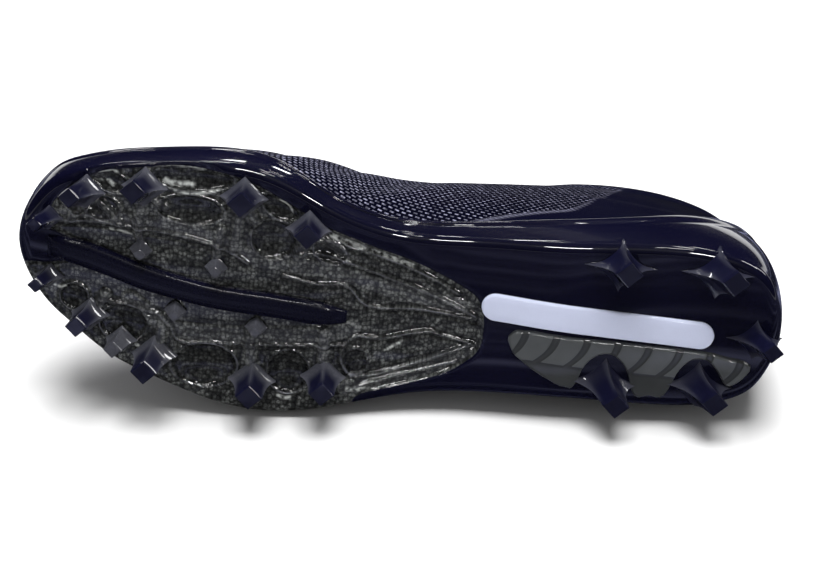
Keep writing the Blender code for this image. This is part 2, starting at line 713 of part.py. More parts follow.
def side_pose(objects):
    """Turn that lays the shoe on its outer side, resting on three points of its hull."""
    bpy.context.view_layer.update()
    graph = bpy.context.evaluated_depsgraph_get()
    points = []
    centre = Vector((0.0, 0.0, 0.0))
    volume = 0.0
    for obj in objects:
        mesh = obj.evaluated_get(graph).to_mesh()
        mesh.calc_loop_triangles()
        points += [v.co.copy() for v in mesh.vertices]
        for tri in mesh.loop_triangles:
            a, b, c = [mesh.vertices[i].co for i in tri.vertices]
            part = a.dot(b.cross(c)) / 6.0
            volume += part
            centre += part * (a + b + c) / 4.0
    centre /= volume
    bm = bmesh.new()
    for point in points:
        bm.verts.new(point)
    bmesh.ops.convex_hull(bm, input=bm.verts)
    bmesh.ops.recalc_face_normals(bm, faces=bm.faces)
    best = None
    for face in bm.faces:
        if face.normal.y < (best.y if best else 0.5):
            continue
        foot = centre + face.normal * (face.verts[0].co - centre).dot(face.normal)
        inside = all(
            (b.co - a.co).cross(foot - a.co).dot(face.normal) >= 0.0
            for a, b in zip(face.verts, list(face.verts[1:]) + [face.verts[0]]))
        if inside:
            best = face.normal.copy()
    bm.free()
    if best is None:
        best = Vector((0.0, 1.0, 0.0))
    down = best.rotation_difference(Vector((0.0, 0.0, -1.0))).to_matrix()
    toe = down @ Vector((-1.0, 0.0, 0.0))
    turn = math.atan2(toe.y, -toe.x)
    pose = (Matrix.Rotation(turn, 3, "Z") @ down).to_4x4()
    placed = [pose @ p for p in points]
    low = Vector([min(p[i] for p in placed) for i in range(3)])
    high = Vector([max(p[i] for p in placed) for i in range(3)])
    shift = Vector((-(low.x + high.x) / 2, -(low.y + high.y) / 2, -low.z))
    return Matrix.Translation(shift) @ pose


def main():
    for obj in list(bpy.data.objects):
        bpy.data.objects.remove(obj, do_unlink=True)
    shoe = bpy.data.objects.new("shoe", None)
    bpy.context.scene.collection.objects.link(shoe)

    shell = material("shell_navy", (0.010, 0.011, 0.040), 0.10)
    stud = material("stud_navy", (0.012, 0.013, 0.045), 0.18)
    mesh = material("upper_mesh", (0.020, 0.022, 0.060), 0.55)
    lining = material("lining_navy", (0.018, 0.020, 0.055), 0.80)
    lace = material("lace_navy", (0.016, 0.018, 0.055), 0.75)
    pale = material("pale_bar", (0.62, 0.64, 0.78), 0.30)
    grey = material("panel_grey", (0.13, 0.14, 0.15), 0.25)

    build_outsole(shell, shoe)
    build_upper(mesh, shoe)
    build_insole(lining, shoe)
    build_tongue(lining, shoe)
    build_laces(lace, shoe)
    strip_on_plate("centre_rib", CENTRE_RIB, RIB_HEIGHT, shell, shoe)
    strip_on_plate("heel_bar", HEEL_BAR, BAR_THICKNESS, pale, shoe)
    strip_on_plate("heel_panel", HEEL_PANEL, BAR_THICKNESS, grey, shoe)
    for row in STUDS:
        build_stud(row, stud, shoe)

    pieces = [o for o in bpy.data.objects if o.type == "MESH" and not o.hide_render]
    shoe.matrix_world = side_pose(pieces)


main()
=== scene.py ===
"""The looks of a right American football cleat that lies on its outer side.

The file is laid out as an add-on and run as a script. The shoe is worked out standing on its studs,
with the toe at -X, the heel at +X and the outer side at +Y, by the functions and tables that its
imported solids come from, and is then laid down by the pose that a packed stud tip gives.
"""

import json
import math

import bmesh
import bpy
import numpy as np
from mathutils import Matrix, Vector
from bpy.props import FloatProperty, FloatVectorProperty, PointerProperty


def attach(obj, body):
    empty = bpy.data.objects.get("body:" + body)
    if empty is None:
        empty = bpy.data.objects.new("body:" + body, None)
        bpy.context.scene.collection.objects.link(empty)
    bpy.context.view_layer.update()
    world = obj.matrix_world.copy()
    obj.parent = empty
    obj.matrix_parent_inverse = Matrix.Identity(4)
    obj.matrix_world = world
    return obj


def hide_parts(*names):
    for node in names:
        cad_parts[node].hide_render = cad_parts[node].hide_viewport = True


bl_info = {
    "name": "Football cleat",
    "version": (1, 0, 0),
    "blender": (4, 5, 0),
    "location": "View3D > Sidebar > Cleat",
    "description": "Builds the visible pieces of a football cleat around its packed solids",
    "category": "Add Mesh",
}

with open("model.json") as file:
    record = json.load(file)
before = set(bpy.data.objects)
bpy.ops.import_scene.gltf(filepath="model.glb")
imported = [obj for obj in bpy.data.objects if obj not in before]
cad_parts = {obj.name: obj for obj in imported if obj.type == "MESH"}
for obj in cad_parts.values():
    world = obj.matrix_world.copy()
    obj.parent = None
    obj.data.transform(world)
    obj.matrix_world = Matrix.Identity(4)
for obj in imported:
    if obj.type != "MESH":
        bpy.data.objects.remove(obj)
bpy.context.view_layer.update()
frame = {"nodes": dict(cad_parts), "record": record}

MM = 0.001

# Outline of the sole shell. along is a share of the length from the toe; inner and outer are half
# widths as shares of the local width; rim is the rim's height as a share of the collar height.
OUTLINE_COLUMNS = ("along", "inner", "outer", "rim")
OUTLINE = (
    (0.000, 0.000, 0.000, 0.105),
    (0.030, 0.332, 0.088, 0.105),
    (0.070, 0.414, 0.193, 0.100),
    (0.120, 0.459, 0.297, 0.095),
    (0.180, 0.488, 0.373, 0.090),
    (0.260, 0.508, 0.452, 0.085),
    (0.330, 0.474, 0.481, 0.064),
    (0.400, 0.376, 0.458, 0.034),
    (0.480, 0.311, 0.431, 0.034),
    (0.560, 0.342, 0.447, 0.045),
    (0.660, 0.432, 0.501, 0.085),
    (0.780, 0.479, 0.500, 0.160),
    (0.880, 0.486, 0.493, 0.270),
    (0.950, 0.414, 0.421, 0.400),
    (0.985, 0.264, 0.271, 0.500),
    (1.000, 0.000, 0.000, 0.540),
)

# Opening of the upper, one row for each row of OUTLINE. half and ridge are shares of the ball
# width, height is a share of the local height.
OPENING_COLUMNS = ("along", "half", "height", "ridge")
OPENING = (
    (0.350, 0.000, 0.900, -0.070),
    (0.353, 0.045, 0.900, -0.070),
    (0.361, 0.078, 0.895, -0.069),
    (0.373, 0.096, 0.890, -0.067),
    (0.391, 0.104, 0.885, -0.064),
    (0.428, 0.108, 0.885, -0.058),
    (0.470, 0.112, 0.890, -0.048),
    (0.518, 0.116, 0.905, -0.036),
    (0.570, 0.124, 0.935, -0.024),
    (0.625, 0.146, 0.965, -0.012),
    (0.690, 0.190, 0.960, -0.004),
    (0.768, 0.232, 0.935, 0.000),
    (0.850, 0.230, 0.925, 0.000),
    (0.915, 0.178, 0.945, 0.000),
    (0.955, 0.102, 0.975, 0.000),
    (0.970, 0.000, 0.985, 0.000),
)

# Profile of the upper's side, one row for each row of OUTLINE, as shares of the ball width, and
# lift and drop as shares of the toe height.
SIDE_COLUMNS = ("belly_inner", "belly_outer", "lift", "shoulder_inner", "shoulder_outer",
                "drop_inner", "drop_outer")
SIDES = (
    (0.034, 0.034, 0.60, 0.600, 0.600, 0.16, 0.16),
    (0.042, 0.042, 0.58, 0.560, 0.530, 0.15, 0.18),
    (0.050, 0.046, 0.55, 0.480, 0.460, 0.14, 0.22),
    (0.058, 0.050, 0.50, 0.410, 0.400, 0.13, 0.26),
    (0.066, 0.052, 0.45, 0.350, 0.350, 0.13, 0.27),
    (0.074, 0.054, 0.40, 0.290, 0.305, 0.15, 0.29),
    (0.100, 0.056, 0.40, 0.270, 0.295, 0.17, 0.30),
    (0.156, 0.062, 0.40, 0.285, 0.285, 0.21, 0.34),
    (0.185, 0.082, 0.38, 0.285, 0.270, 0.30, 0.42),
    (0.165, 0.092, 0.38, 0.260, 0.240, 0.42, 0.52),
    (0.115, 0.078, 0.38, 0.185, 0.180, 0.55, 0.60),
    (0.062, 0.056, 0.38, 0.105, 0.105, 0.62, 0.64),
    (0.050, 0.046, 0.38, 0.095, 0.095, 0.66, 0.66),
    (0.048, 0.044, 0.38, 0.095, 0.095, 0.70, 0.70),
    (0.046, 0.046, 0.38, 0.085, 0.085, 0.74, 0.74),
    (0.046, 0.046, 0.38, 0.075, 0.075, 0.76, 0.76),
)

# Studs: place along the sole and across its flat, size, height and outward lean, as in the solids.
# clear is how much of the root is clear plastic rather than navy: at WHOLLY_CLEAR and above the
# whole stud is, and at CONE_CLEAR it is a rounder cone.
WHOLLY_CLEAR, CONE_CLEAR = 1.5, 2.0
STUD_COLUMNS = ("name", "along", "across", "size", "tall", "lean", "clear")
STUDS = (
    ("stud_toe_inner", 0.040, 0.22, 0.58, 0.80, 0.80, 0.2),
    ("stud_toe_outer", 0.043, 0.85, 0.58, 0.80, 0.80, 0.6),
    ("stud_inner_1", 0.087, 0.08, 0.80, 0.95, 0.70, 0.4),
    ("stud_inner_2", 0.162, 0.07, 0.95, 1.00, 0.45, 0.6),
    ("stud_inner_3", 0.289, 0.09, 1.00, 1.00, 0.20, 0.6),
    ("stud_inner_4", 0.374, 0.11, 0.95, 1.00, 0.20, 0.6),
    ("stud_outer_1", 0.098, 0.90, 0.80, 0.90, 0.60, 0.8),
    ("stud_outer_2", 0.140, 0.93, 0.66, 0.62, 0.50, 1.6),
    ("stud_outer_3", 0.184, 0.93, 0.95, 0.98, 0.45, 0.8),
    ("stud_outer_4", 0.314, 0.90, 1.00, 1.00, 0.20, 0.8),
    ("stud_outer_5", 0.407, 0.87, 0.95, 1.00, 0.20, 0.8),
    ("stud_centre_1", 0.161, 0.40, 0.48, 0.42, 0.00, 2.0),
    ("stud_centre_2", 0.259, 0.42, 0.48, 0.42, 0.00, 2.0),
    ("stud_centre_3", 0.209, 0.67, 0.48, 0.42, 0.00, 2.0),
    ("stud_centre_4", 0.315, 0.65, 0.48, 0.42, 0.00, 2.0),
    ("stud_heel_inner_1", 0.779, 0.08, 1.00, 1.00, 0.30, 0.0),
    ("stud_heel_inner_2", 0.905, 0.07, 1.00, 1.00, 0.60, 0.0),
    ("stud_heel_outer_1", 0.776, 0.92, 1.00, 1.00, 0.70, 0.1),
    ("stud_heel_outer_2", 0.899, 0.91, 1.00, 1.00, 0.70, 0.1),
    ("stud_heel_back", 0.966, 0.55, 0.80, 0.95, 0.75, 0.0),
)

# Centre rib and heel bar: along as a share of the length, across and half width as shares of the
# ball width.
STRIP_COLUMNS = ("along", "across", "half")
# Section of the rib and of the bar: across as a share of the half width, drop as one of the thickness
STRIP_SECTION = (
    (-1.0, -0.4), (-1.0, 0.35), (-0.93, 0.75), (-0.80, 0.95), (-0.4, 1.0), (0.0, 1.02),
    (0.4, 1.0), (0.80, 0.95), (0.93, 0.75), (1.0, 0.35), (1.0, -0.4), (0.0, -0.4),
)
CENTRE_RIB = (
    (0.040, -0.111, 0.040),
    (0.080, -0.100, 0.050),
    (0.120, -0.072, 0.050),
    (0.162, -0.036, 0.050),
    (0.200, -0.012, 0.048),
    (0.258, 0.018, 0.046),
    (0.340, 0.038, 0.045),
    (0.400, 0.055, 0.042),
    (0.432, 0.064, 0.024),
)
HEEL_BAR = (
    (0.606, -0.018, 0.026),
    (0.612, -0.017, 0.044),
    (0.625, -0.016, 0.054),
    (0.680, -0.008, 0.054),
    (0.740, 0.000, 0.054),
    (0.800, 0.008, 0.054),
    (0.860, 0.016, 0.054),
    (0.893, 0.021, 0.054),
    (0.906, 0.023, 0.044),
    (0.912, 0.023, 0.026),
)
# Heel panel: its two long edges, as millimetres across the shoe.
PANEL_COLUMNS = ("along", "near", "far")
HEEL_PANEL = (
    (0.645, 9.8, 12.0),
    (0.652, 7.4, 16.5),
    (0.665, 6.6, 20.0),
    (0.700, 6.9, 26.5),
    (0.726, 7.2, 29.4),
    (0.737, 7.3, 28.8),
    (0.747, 7.4, 20.5),
    (0.760, 7.5, 15.4),
    (0.776, 7.6, 13.6),
    (0.792, 7.7, 15.4),
    (0.805, 7.8, 20.5),
    (0.815, 7.9, 28.8),
    (0.838, 8.1, 30.4),
    (0.861, 8.3, 28.0),
    (0.871, 8.5, 19.5),
    (0.884, 8.7, 14.2),
    (0.899, 8.9, 12.6),
    (0.914, 9.4, 14.2),
    (0.926, 10.2, 18.5),
    (0.936, 10.8, 23.0),
    (0.948, 11.2, 22.6),
    (0.958, 12.0, 19.8),
    (0.966, 13.6, 16.4),
)
# How far the centre rib is drawn nearer to the plate's middle than its solid, in millimetres
RIB_LIFT = 0.4

# Ribbed part of the panel: depth, spacing, width and sweep of its dark stripes, and the place along
# the shoe that they are counted from, in millimetres
RIBBED_DEPTH = 12.5
RIB_PITCH = 12.2
RIB_WIDTH = 2.9
RIB_SWEEP = 7.0
RIB_START = 44.0

# Sections along the rib, the bar and the panel, and points across the panel
RIB_SECTIONS, BAR_SECTIONS, PANEL_SECTIONS, PANEL_POINTS = 60, 160, 381, 53

# The clear window in the forefoot: along as a share of the length, across in millimetres.
WINDOW = (
    (0.036, -19.5), (0.046, -30.0), (0.072, -39.0), (0.110, -45.0), (0.160, -48.5), (0.211, -50.5),
    (0.278, -48.5), (0.330, -42.0), (0.392, -31.5), (0.429, -27.0), (0.463, -23.0), (0.520, -17.0),
    (0.577, -9.0), (0.603, -3.0), (0.612, 8.0), (0.604, 20.0), (0.558, 30.5), (0.494, 37.0),
    (0.452, 42.0), (0.430, 52.0), (0.300, 66.0), (0.150, 56.0), (0.050, 40.0), (-0.010, 14.0),
    (0.006, -2.0), (0.040, -4.5), (0.084, -8.0), (0.090, -11.5), (0.078, -15.0),
)

# Bowls pressed into the window: centre along, centre across and half sizes in millimetres, depth
# in millimetres and how much the bowl is turned, in degrees.
BOWL_COLUMNS = ("along", "across", "reach", "half", "depth", "turn")
BOWLS = (
    (0.071, -30.5, 6.0, 3.4, 1.3, 35.0),
    (0.116, -41.5, 9.0, 4.4, 1.6, 20.0),
    (0.224, -46.0, 15.5, 5.4, 1.9, -2.0),
    (0.337, -37.0, 8.0, 4.8, 1.5, 30.0),
    (0.420, -27.5, 9.0, 3.0, 1.0, 30.0),
    (0.108, -30.0, 7.0, 5.0, 1.1, 0.0),
    (0.222, -33.0, 13.0, 6.0, 1.3, 0.0),
    (0.330, -23.5, 8.6, 8.4, 1.6, 15.0),
    (0.404, -20.0, 7.0, 4.6, 1.0, 25.0),
    (0.142, 17.5, 9.5, 8.0, 1.6, -10.0),
    (0.250, 32.5, 13.0, 9.4, 1.9, -6.0),
    (0.361, 32.5, 8.4, 9.4, 1.7, 0.0),
    (0.448, 26.5, 5.0, 5.6, 0.9, 0.0),
    (0.076, 9.0, 5.6, 5.6, 1.1, 30.0),
)

# Moulded lines of the window: height and half width in millimetres, then points along and across.
LINE_COLUMNS = ("height", "half", "points")
LINES = (
    (0.55, 0.75, ((0.050, -22.5), (0.100, -24.0), (0.160, -23.2), (0.220, -21.5), (0.272, -17.5),
                  (0.300, -12.5))),
    (0.55, 0.75, ((0.345, -9.0), (0.389, -6.2), (0.428, -6.2), (0.460, 2.3), (0.525, 2.7), (0.600, 5.1))),
    (0.60, 0.80, ((0.345, -17.0), (0.385, -19.0), (0.433, -15.6), (0.494, -8.8), (0.551, -2.7),
                  (0.600, 4.0))),
    (0.55, 0.75, ((0.110, 8.5), (0.190, 12.5), (0.215, 22.5), (0.248, 22.5), (0.300, 22.0),
                  (0.351, 21.0), (0.430, 19.6))),
    (0.60, 0.80, ((0.443, 33.0), (0.428, 25.0), (0.443, 15.9), (0.480, 16.0), (0.536, 12.2),
                  (0.560, 13.4), (0.599, 15.8))),
    (0.60, 0.80, ((0.599, 15.8), (0.562, 21.4), (0.507, 28.5), (0.474, 32.0), (0.443, 33.0))),
    (0.50, 0.70, ((0.425, 42.0), (0.461, 36.6), (0.526, 29.8), (0.580, 24.0))),
    (0.50, 0.80, ((0.425, -23.0), (0.470, -19.0), (0.530, -12.0), (0.575, -5.0))),
)

# Struts that brace the studs against the middle of the window, with the same columns as LINES.
STRUTS = (
    (1.10, 1.3, ((0.087, -37.0), (0.070, -24.0))),
    (1.10, 1.3, ((0.090, -36.0), (0.132, -24.5))),
    (1.20, 1.6, ((0.160, -39.0), (0.158, -24.0))),
    (1.00, 1.3, ((0.165, -39.0), (0.190, -33.0))),
    (1.20, 1.6, ((0.288, -40.0), (0.280, -18.5))),
    (1.00, 1.3, ((0.288, -40.0), (0.306, -31.0))),
    (1.20, 1.6, ((0.374, -29.0), (0.360, -13.0))),
    (1.00, 1.3, ((0.376, -28.0), (0.420, -20.5))),
    (1.00, 1.4, ((0.096, 17.0), (0.118, 6.0))),
    (1.20, 1.6, ((0.184, 31.0), (0.196, 13.5))),
    (1.30, 1.7, ((0.314, 37.0), (0.308, 18.0))),
    (1.30, 1.7, ((0.407, 33.0), (0.404, 14.0))),
    (0.80, 1.2, ((0.258, -14.0), (0.262, -26.0))),
    (0.80, 1.2, ((0.161, -17.0), (0.152, -27.0))),
)

# Bands of paler, hazier plastic beside the rib: half width in millimetres and points.
BAND_COLUMNS = ("half", "points")
BANDS = (
    (3.2, ((0.055, -24.5), (0.110, -26.5), (0.160, -26.0), (0.220, -24.5), (0.270, -20.5),
           (0.310, -15.0), (0.400, -12.5))),
    (3.6, ((0.150, 7.0), (0.200, 17.0), (0.260, 18.5), (0.320, 17.5), (0.400, 15.5), (0.440, 12.0))),
    (3.2, ((0.400, -12.5), (0.450, -8.5), (0.510, -3.5), (0.580, 0.0))),
    (3.6, ((0.440, 38.5), (0.480, 34.5), (0.530, 29.0), (0.590, 19.5))),
)

# Painted highlights: pale glare patches painted into the clear plastic's colour, with the same columns as
# BANDS.
PAINTED_GLARES = (
    (0.8, ((0.098, -41.5), (0.113, -41.2), (0.122, -39.6))),
    (0.5, ((0.103, -44.6), (0.118, -45.8), (0.128, -45.2))),
    (1.1, ((0.188, -44.0), (0.205, -42.6), (0.222, -43.2))),
    (0.6, ((0.168, -49.5), (0.190, -50.6), (0.236, -50.4))),
    (0.5, ((0.196, -41.0), (0.214, -39.8), (0.240, -40.4), (0.258, -42.6))),
    (0.5, ((0.334, -40.2), (0.346, -38.6), (0.352, -35.4))),
    (0.9, ((0.405, -27.0), (0.424, -24.6), (0.446, -22.6))),
    (0.8, ((0.452, -22.0), (0.482, -18.8), (0.512, -15.8))),
    (0.8, ((0.160, 26.2), (0.168, 28.4), (0.170, 31.0))),
    (0.5, ((0.044, 4.6), (0.056, 5.6), (0.064, 4.8))),
    (0.7, ((0.350, 43.2), (0.358, 44.2), (0.366, 43.6))),
    (0.8, ((0.440, 38.6), (0.452, 39.2), (0.461, 37.8))),
    (0.4, ((0.120, -21.6), (0.136, -21.2), (0.150, -20.2))),
    (0.5, ((0.486, 21.5), (0.497, 19.0), (0.503, 17.8))),
)

# Soft creases of the upper, from flexing: start and end as level up the upper and place along the
# sole, for the outer (+1) or inner (-1) side, depth in millimetres (a trough below 0), and width.
CREASE_COLUMNS = ("side", "along_from", "level_from", "along_to", "level_to", "depth", "width")
CREASES = (
    (-1, 0.300, 0.30, 0.335, 0.86, -0.9, 4.0),
    (-1, 0.335, 0.26, 0.372, 0.84, 0.6, 4.0),
    (-1, 0.372, 0.30, 0.415, 0.82, -0.9, 4.5),
    (-1, 0.430, 0.24, 0.520, 0.60, -0.8, 5.0),
    (-1, 0.470, 0.20, 0.560, 0.48, 0.6, 5.0),
    (-1, 0.700, 0.72, 0.840, 0.62, -0.9, 4.5),
    (-1, 0.700, 0.62, 0.850, 0.50, 0.6, 5.0),
    (1, 0.300, 0.28, 0.330, 0.84, -0.9, 4.0),
    (1, 0.340, 0.26, 0.368, 0.82, 0.6, 4.0),
    (1, 0.382, 0.28, 0.405, 0.80, -0.8, 4.5),
    (1, 0.560, 0.50, 0.660, 0.72, -0.7, 5.0),
    (1, 0.700, 0.74, 0.850, 0.62, -0.9, 4.5),
    (1, 0.690, 0.62, 0.840, 0.52, 0.5, 5.0),
)

# Places along the shoe, as shares of its length
BALL_ALONG = 0.27
ARCH_UP, ARCH_DOWN = (0.38, 0.54), (0.56, 0.74)
WAIST_START, WAIST_END = 0.40, 0.70
VAMP_ALONG, INSTEP_ALONG, COLLAR_ALONG = 0.30, 0.64, 0.90
WAIST_ALONG = 0.60

# Height of the vamp in toe heights, the toe's place across in ball widths, and how strongly the
# studs of both ends lean along the shoe
VAMP = 1.50
TOE_ACROSS = -0.123
LEAN_ENDS = 4.0

# Points of a loop to each row of OUTLINE, and rows of points over the plate, its rounded edge, the
# shell's rim and lip, and the upper's outer face, rolled edge and inner face
LOOP_STEPS = 28
PLATE_ROWS, EDGE_ROWS, RIM_ROWS, LIP_ROWS = 71, 9, 19, 7
UPPER_ROWS, ROLL_ROWS, LINING_ROWS = 86, 6, 16

# Turn of the mesh's rows of dashes against the sole's edge, in degrees
DASH_SLANT = -14.0

# Bead along the shell's rim and the groove below it, in millimetres
BEAD, GROOVE = 0.45, 0.25

# Step down into the window, and value of the line layer where no moulded line is near, in millimetres
WINDOW_STEP = 1.0
NO_LINE = 9.0

# Lower end of the mesh on the upper's sides, in millimetres above the ground: its height beside the
# arch, how much it has risen by the end of the straight part, and the part's start and length
MESH_LOW, MESH_RISE, MESH_START, MESH_RUN = 15.0, 26.0, 0.48, 0.25

# How far the collar's edge is padded out, in millimetres
COLLAR_PUFF = 0.8

# Height of the upper's sides that the levels of CREASES are shares of, in millimetres
CREASE_SPAN = 70.0

# Laces and tongue, as in the solids; radius and wire of the eyelets' rings in millimetres, and
# sections along a lace and points around it
EYELETS = (0.385, 0.432, 0.480, 0.528, 0.576, 0.618)
EYELET_LEVEL = 0.935
EYELET_RADIUS, EYELET_WIRE = 2.5, 0.55
LACE_SECTIONS, LACE_SIDES = 37, 16
TONGUE_START, TONGUE_END = 2, 9
TONGUE_LEVEL = 2.0 / 9.0

# How far a stud's fins run out at its root, as shares of its size, and how round the small ones are
FOREFOOT_FIN = 0.12
HEEL_FIN = 0.62
CENTRE_CONE = 0.35

# Sections down a stud as shares of its height, and points around it
STUD_DOWNS = (-0.08, 0.0, 0.04, 0.09, 0.15, 0.22, 0.30, 0.40, 0.52, 0.68, 0.84, 0.955, 1.0)
STUD_SIDES = 56

# Narrow lights, only for highlights: name, place, aim, length, width and power
STRIPS = (
    ("strip_back_toe", (-0.55, 0.80, 0.95), (-0.10, 0.0, 0.05), 0.34, 0.035, 1.8),
    ("strip_back_waist", (-0.02, 0.80, 1.00), (0.0, 0.0, 0.05), 0.26, 0.030, 1.5),
    ("strip_back_heel", (0.55, 0.80, 1.00), (0.10, 0.0, 0.05), 0.22, 0.030, 1.4),
    ("strip_top_toe", (-0.45, 0.10, 1.30), (-0.08, 0.0, 0.05), 0.22, 0.022, 0.6),
    ("strip_top_heel", (0.42, 0.16, 1.25), (0.08, 0.0, 0.05), 0.26, 0.050, 1.6),
    ("strip_front", (-0.34, -0.55, 1.25), (-0.05, 0.0, 0.05), 0.30, 0.035, 2.4),
    ("strip_front_heel", (0.36, -0.60, 1.10), (0.05, 0.0, 0.05), 0.20, 0.040, 1.3),
    ("strip_waist", (-0.12, 0.35, 1.20), (0.0, 0.0, 0.05), 0.20, 0.060, 2.0),
    ("soft_back", (0.0, 0.75, 1.20), (0.0, 0.0, 0.05), 1.60, 0.420, 0.3),
    ("strip_arch", (1.00, -0.10, 0.92), (0.0, 0.0, 0.05), 0.16, 0.300, 3.4),
    ("strip_eye_waist", (0.06, -1.30, 0.80), (0.0, 0.0, 0.05), 0.26, 0.045, 4.5),
    ("strip_eye_heel", (0.46, -1.20, 0.62), (0.08, 0.0, 0.05), 0.12, 0.045, 2.4),
    ("strip_eye_toe", (-0.52, -1.20, 0.85), (-0.08, 0.0, 0.05), 0.20, 0.030, 2.0),
    ("side", (1.3, 0.2, 0.7), (0.0, 0.0, 0.05), 0.20, 0.40, 3.5),
)

# Floor, and the card that keeps the sole's reflections dark: sides, and the card's back edge behind
# the shoe's middle, in metres
FLOOR_SIZE, CARD_SIZE, CARD_BACK = 8.0, 2.6, 0.30

# Ceiling light, with the same columns as the strips, and the even light of the world
CEILING = ("ceiling", (0.0, 0.4, 2.6), (0.0, 0.0, 0.0), 1.8, 1.8, 132.0)
WORLD_STRENGTH = 0.22

# Camera in front of the standing shoe's sole: lift towards its inner side and tilt in degrees,
# distance, aim and shift up in metres, and the photograph's scale at the aim
CAMERA_LIFT, CAMERA_TILT, CAMERA_DISTANCE = 24.0, 4.96, 0.85
CAMERA_AIM, CAMERA_UP = (0.0014, -0.0122, 0.0), 0.0030
PIXELS_PER_METRE, IMAGE_WIDTH, SENSOR = 2615.0, 813.0, 36.0


def length(label, about, default):
    """Setting for one of the shoe's lengths, in metres."""
    return FloatProperty(name=label, description=about, default=default, unit="LENGTH")


def colour(label, about, default):
    """Setting for one of the shoe's colours."""
    return FloatVectorProperty(name=label, description=about, default=default, subtype="COLOR")


class CleatSizes(bpy.types.PropertyGroup):
    """Sizes of the shoe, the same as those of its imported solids."""

    shoe_length: length("Length", "Toe tip to heel back over the shell", 0.300)
    ball_width: length("Ball width", "Widest part of the shell", 0.106)
    heel_width: length("Heel width", "Shell across the heel", 0.070)
    toe_height: length("Toe height", "Ground to the toe box", 0.050)
    instep_height: length("Instep height", "Ground to the throat's upper end", 0.104)
    collar_height: length("Collar height", "Ground to the collar", 0.098)
    stud_height: length("Stud height", "Plate to stud tip", 0.012)
    stud_size: length("Stud size", "Half of a main stud's base", 0.0095)
    plate: length("Plate", "Thickness of the sole plate", 0.003)
    toe_spring: length("Toe spring", "Rise of the plate at the toe", 0.008)
    arch_rise: length("Arch rise", "Rise of the plate at the waist", 0.004)
    edge_round: length("Edge round", "Rounding of the plate's edge", 0.0045)
    shell_wall: length("Shell wall", "Thickness of the shell's rim", 0.0018)
    upper_wall: length("Upper wall", "Thickness of the upper", 0.0018)
    clearance: length("Clearance", "Gap between neighbours", 0.0003)
    tongue: length("Tongue", "Thickness of the tongue", 0.0030)
    tongue_gap: length("Tongue gap", "Gap under the throat", 0.0005)
    tongue_reach: length("Tongue reach", "Tongue beyond the throat", 0.036)
    tongue_rise: length("Tongue rise", "Bend of the tongue's free end", 0.007)
    tongue_crown: length("Tongue crown", "Arch of the tongue in the throat", 0.0012)
    lace_width: length("Lace width", "Width of the flat lace", 0.0052)
    lace_thickness: length("Lace thickness", "Thickness of the flat lace", 0.0012)
    rib_height: length("Rib height", "Centre rib above the plate", 0.0022)
    bar_thickness: length("Bar thickness", "Heel bar and panel", 0.0010)


class CleatColours(bpy.types.PropertyGroup):
    """Colours of the shoe."""

    shell: colour("Shell", "Navy moulded plastic", (0.0026, 0.0026, 0.0110))
    stud: colour("Studs", "Navy stud tips", (0.0040, 0.0042, 0.0170))
    clear: colour("Clear plastic", "Haze of the clear ridges", (0.078, 0.080, 0.096))
    weave_light: colour("Weave, light", "Light flecks under the window", (0.195, 0.203, 0.197))
    weave_dark: colour("Weave, dark", "Gaps of the weave", (0.0070, 0.0074, 0.0076))
    cloth: colour("Cloth", "Navy cloth of the upper", (0.0075, 0.0080, 0.0340))
    thread: colour("Thread", "Silver dashes of the mesh", (0.30, 0.30, 0.42))
    bar: colour("Bar", "Pale heel bar", (0.60, 0.64, 0.82))
    panel: colour("Panel", "Grey ribs of the heel panel", (0.074, 0.079, 0.082))
    floor: colour("Floor", "Pale studio floor", (0.86, 0.86, 0.86))


def column(table, columns, name):
    """One named column of a table, as an array."""
    return np.array([row[columns.index(name)] for row in table], float)


def named_rows(table, columns):
    """Rows of a table, each with its values by column name."""
    return [dict(zip(columns, row)) for row in table]


def blend(x, start, end):
    """Smooth step from 0 at start to 1 at end."""
    s = np.clip((np.asarray(x, float) - start) / (end - start), 0.0, 1.0)
    return s * s * (3.0 - 2.0 * s)


def closed_spline(points, steps):
    """Smooth closed curve through rows of points, steps points to each span."""
    points = np.asarray(points, float)
    n = len(points)
    flat = points.reshape(n, -1)
    matrix = 4.0 * np.eye(n) + np.roll(np.eye(n), 1, axis=0) + np.roll(np.eye(n), -1, axis=0)
    slopes = np.linalg.solve(matrix, 3.0 * (np.roll(flat, -1, axis=0) - np.roll(flat, 1, axis=0)))
    t = (np.arange(steps) / steps)[None, :, None]
    a, b = flat[:, None, :], np.roll(flat, -1, axis=0)[:, None, :]
    da, db = slopes[:, None, :], np.roll(slopes, -1, axis=0)[:, None, :]
    out = (((2 * t - 3) * t * t + 1) * a + ((t - 2) * t * t + t) * da
           + (3 - 2 * t) * t * t * b + (t - 1) * t * t * db)
    return out.reshape((n * steps,) + points.shape[1:])


def smooth_table(along, values, at):
    """Values of a table's column between its rows, on a smooth curve."""
    slopes = np.gradient(values, along)
    i = np.clip(np.searchsorted(along, at) - 1, 0, len(along) - 2)
    h = along[i + 1] - along[i]
    t = np.clip((at - along[i]) / h, 0.0, 1.0)
    return ((2 * t - 3) * t * t + 1) * values[i] + ((t - 2) * t * t + t) * slopes[i] * h + (
        (3 - 2 * t) * t * t) * values[i + 1] + (t - 1) * t * t * slopes[i + 1] * h


def loop_rows(outer_side, inner_side):
    """Rows of both sides as one loop: toe, outer side, heel, inner side."""
    return np.concatenate([outer_side, inner_side[-2:0:-1]])


def inset_loop(loop, distance):
    """A closed plan curve moved in by a distance."""
    tangent = np.roll(loop, -1, axis=0) - np.roll(loop, 1, axis=0)
    normal = np.column_stack([-tangent[:, 1], tangent[:, 0]])
    normal /= np.linalg.norm(normal, axis=1)[:, None]
    outward = np.sign(np.sum(normal * (loop - loop.mean(axis=0)), axis=1).sum())
    return loop - outward * distance * normal


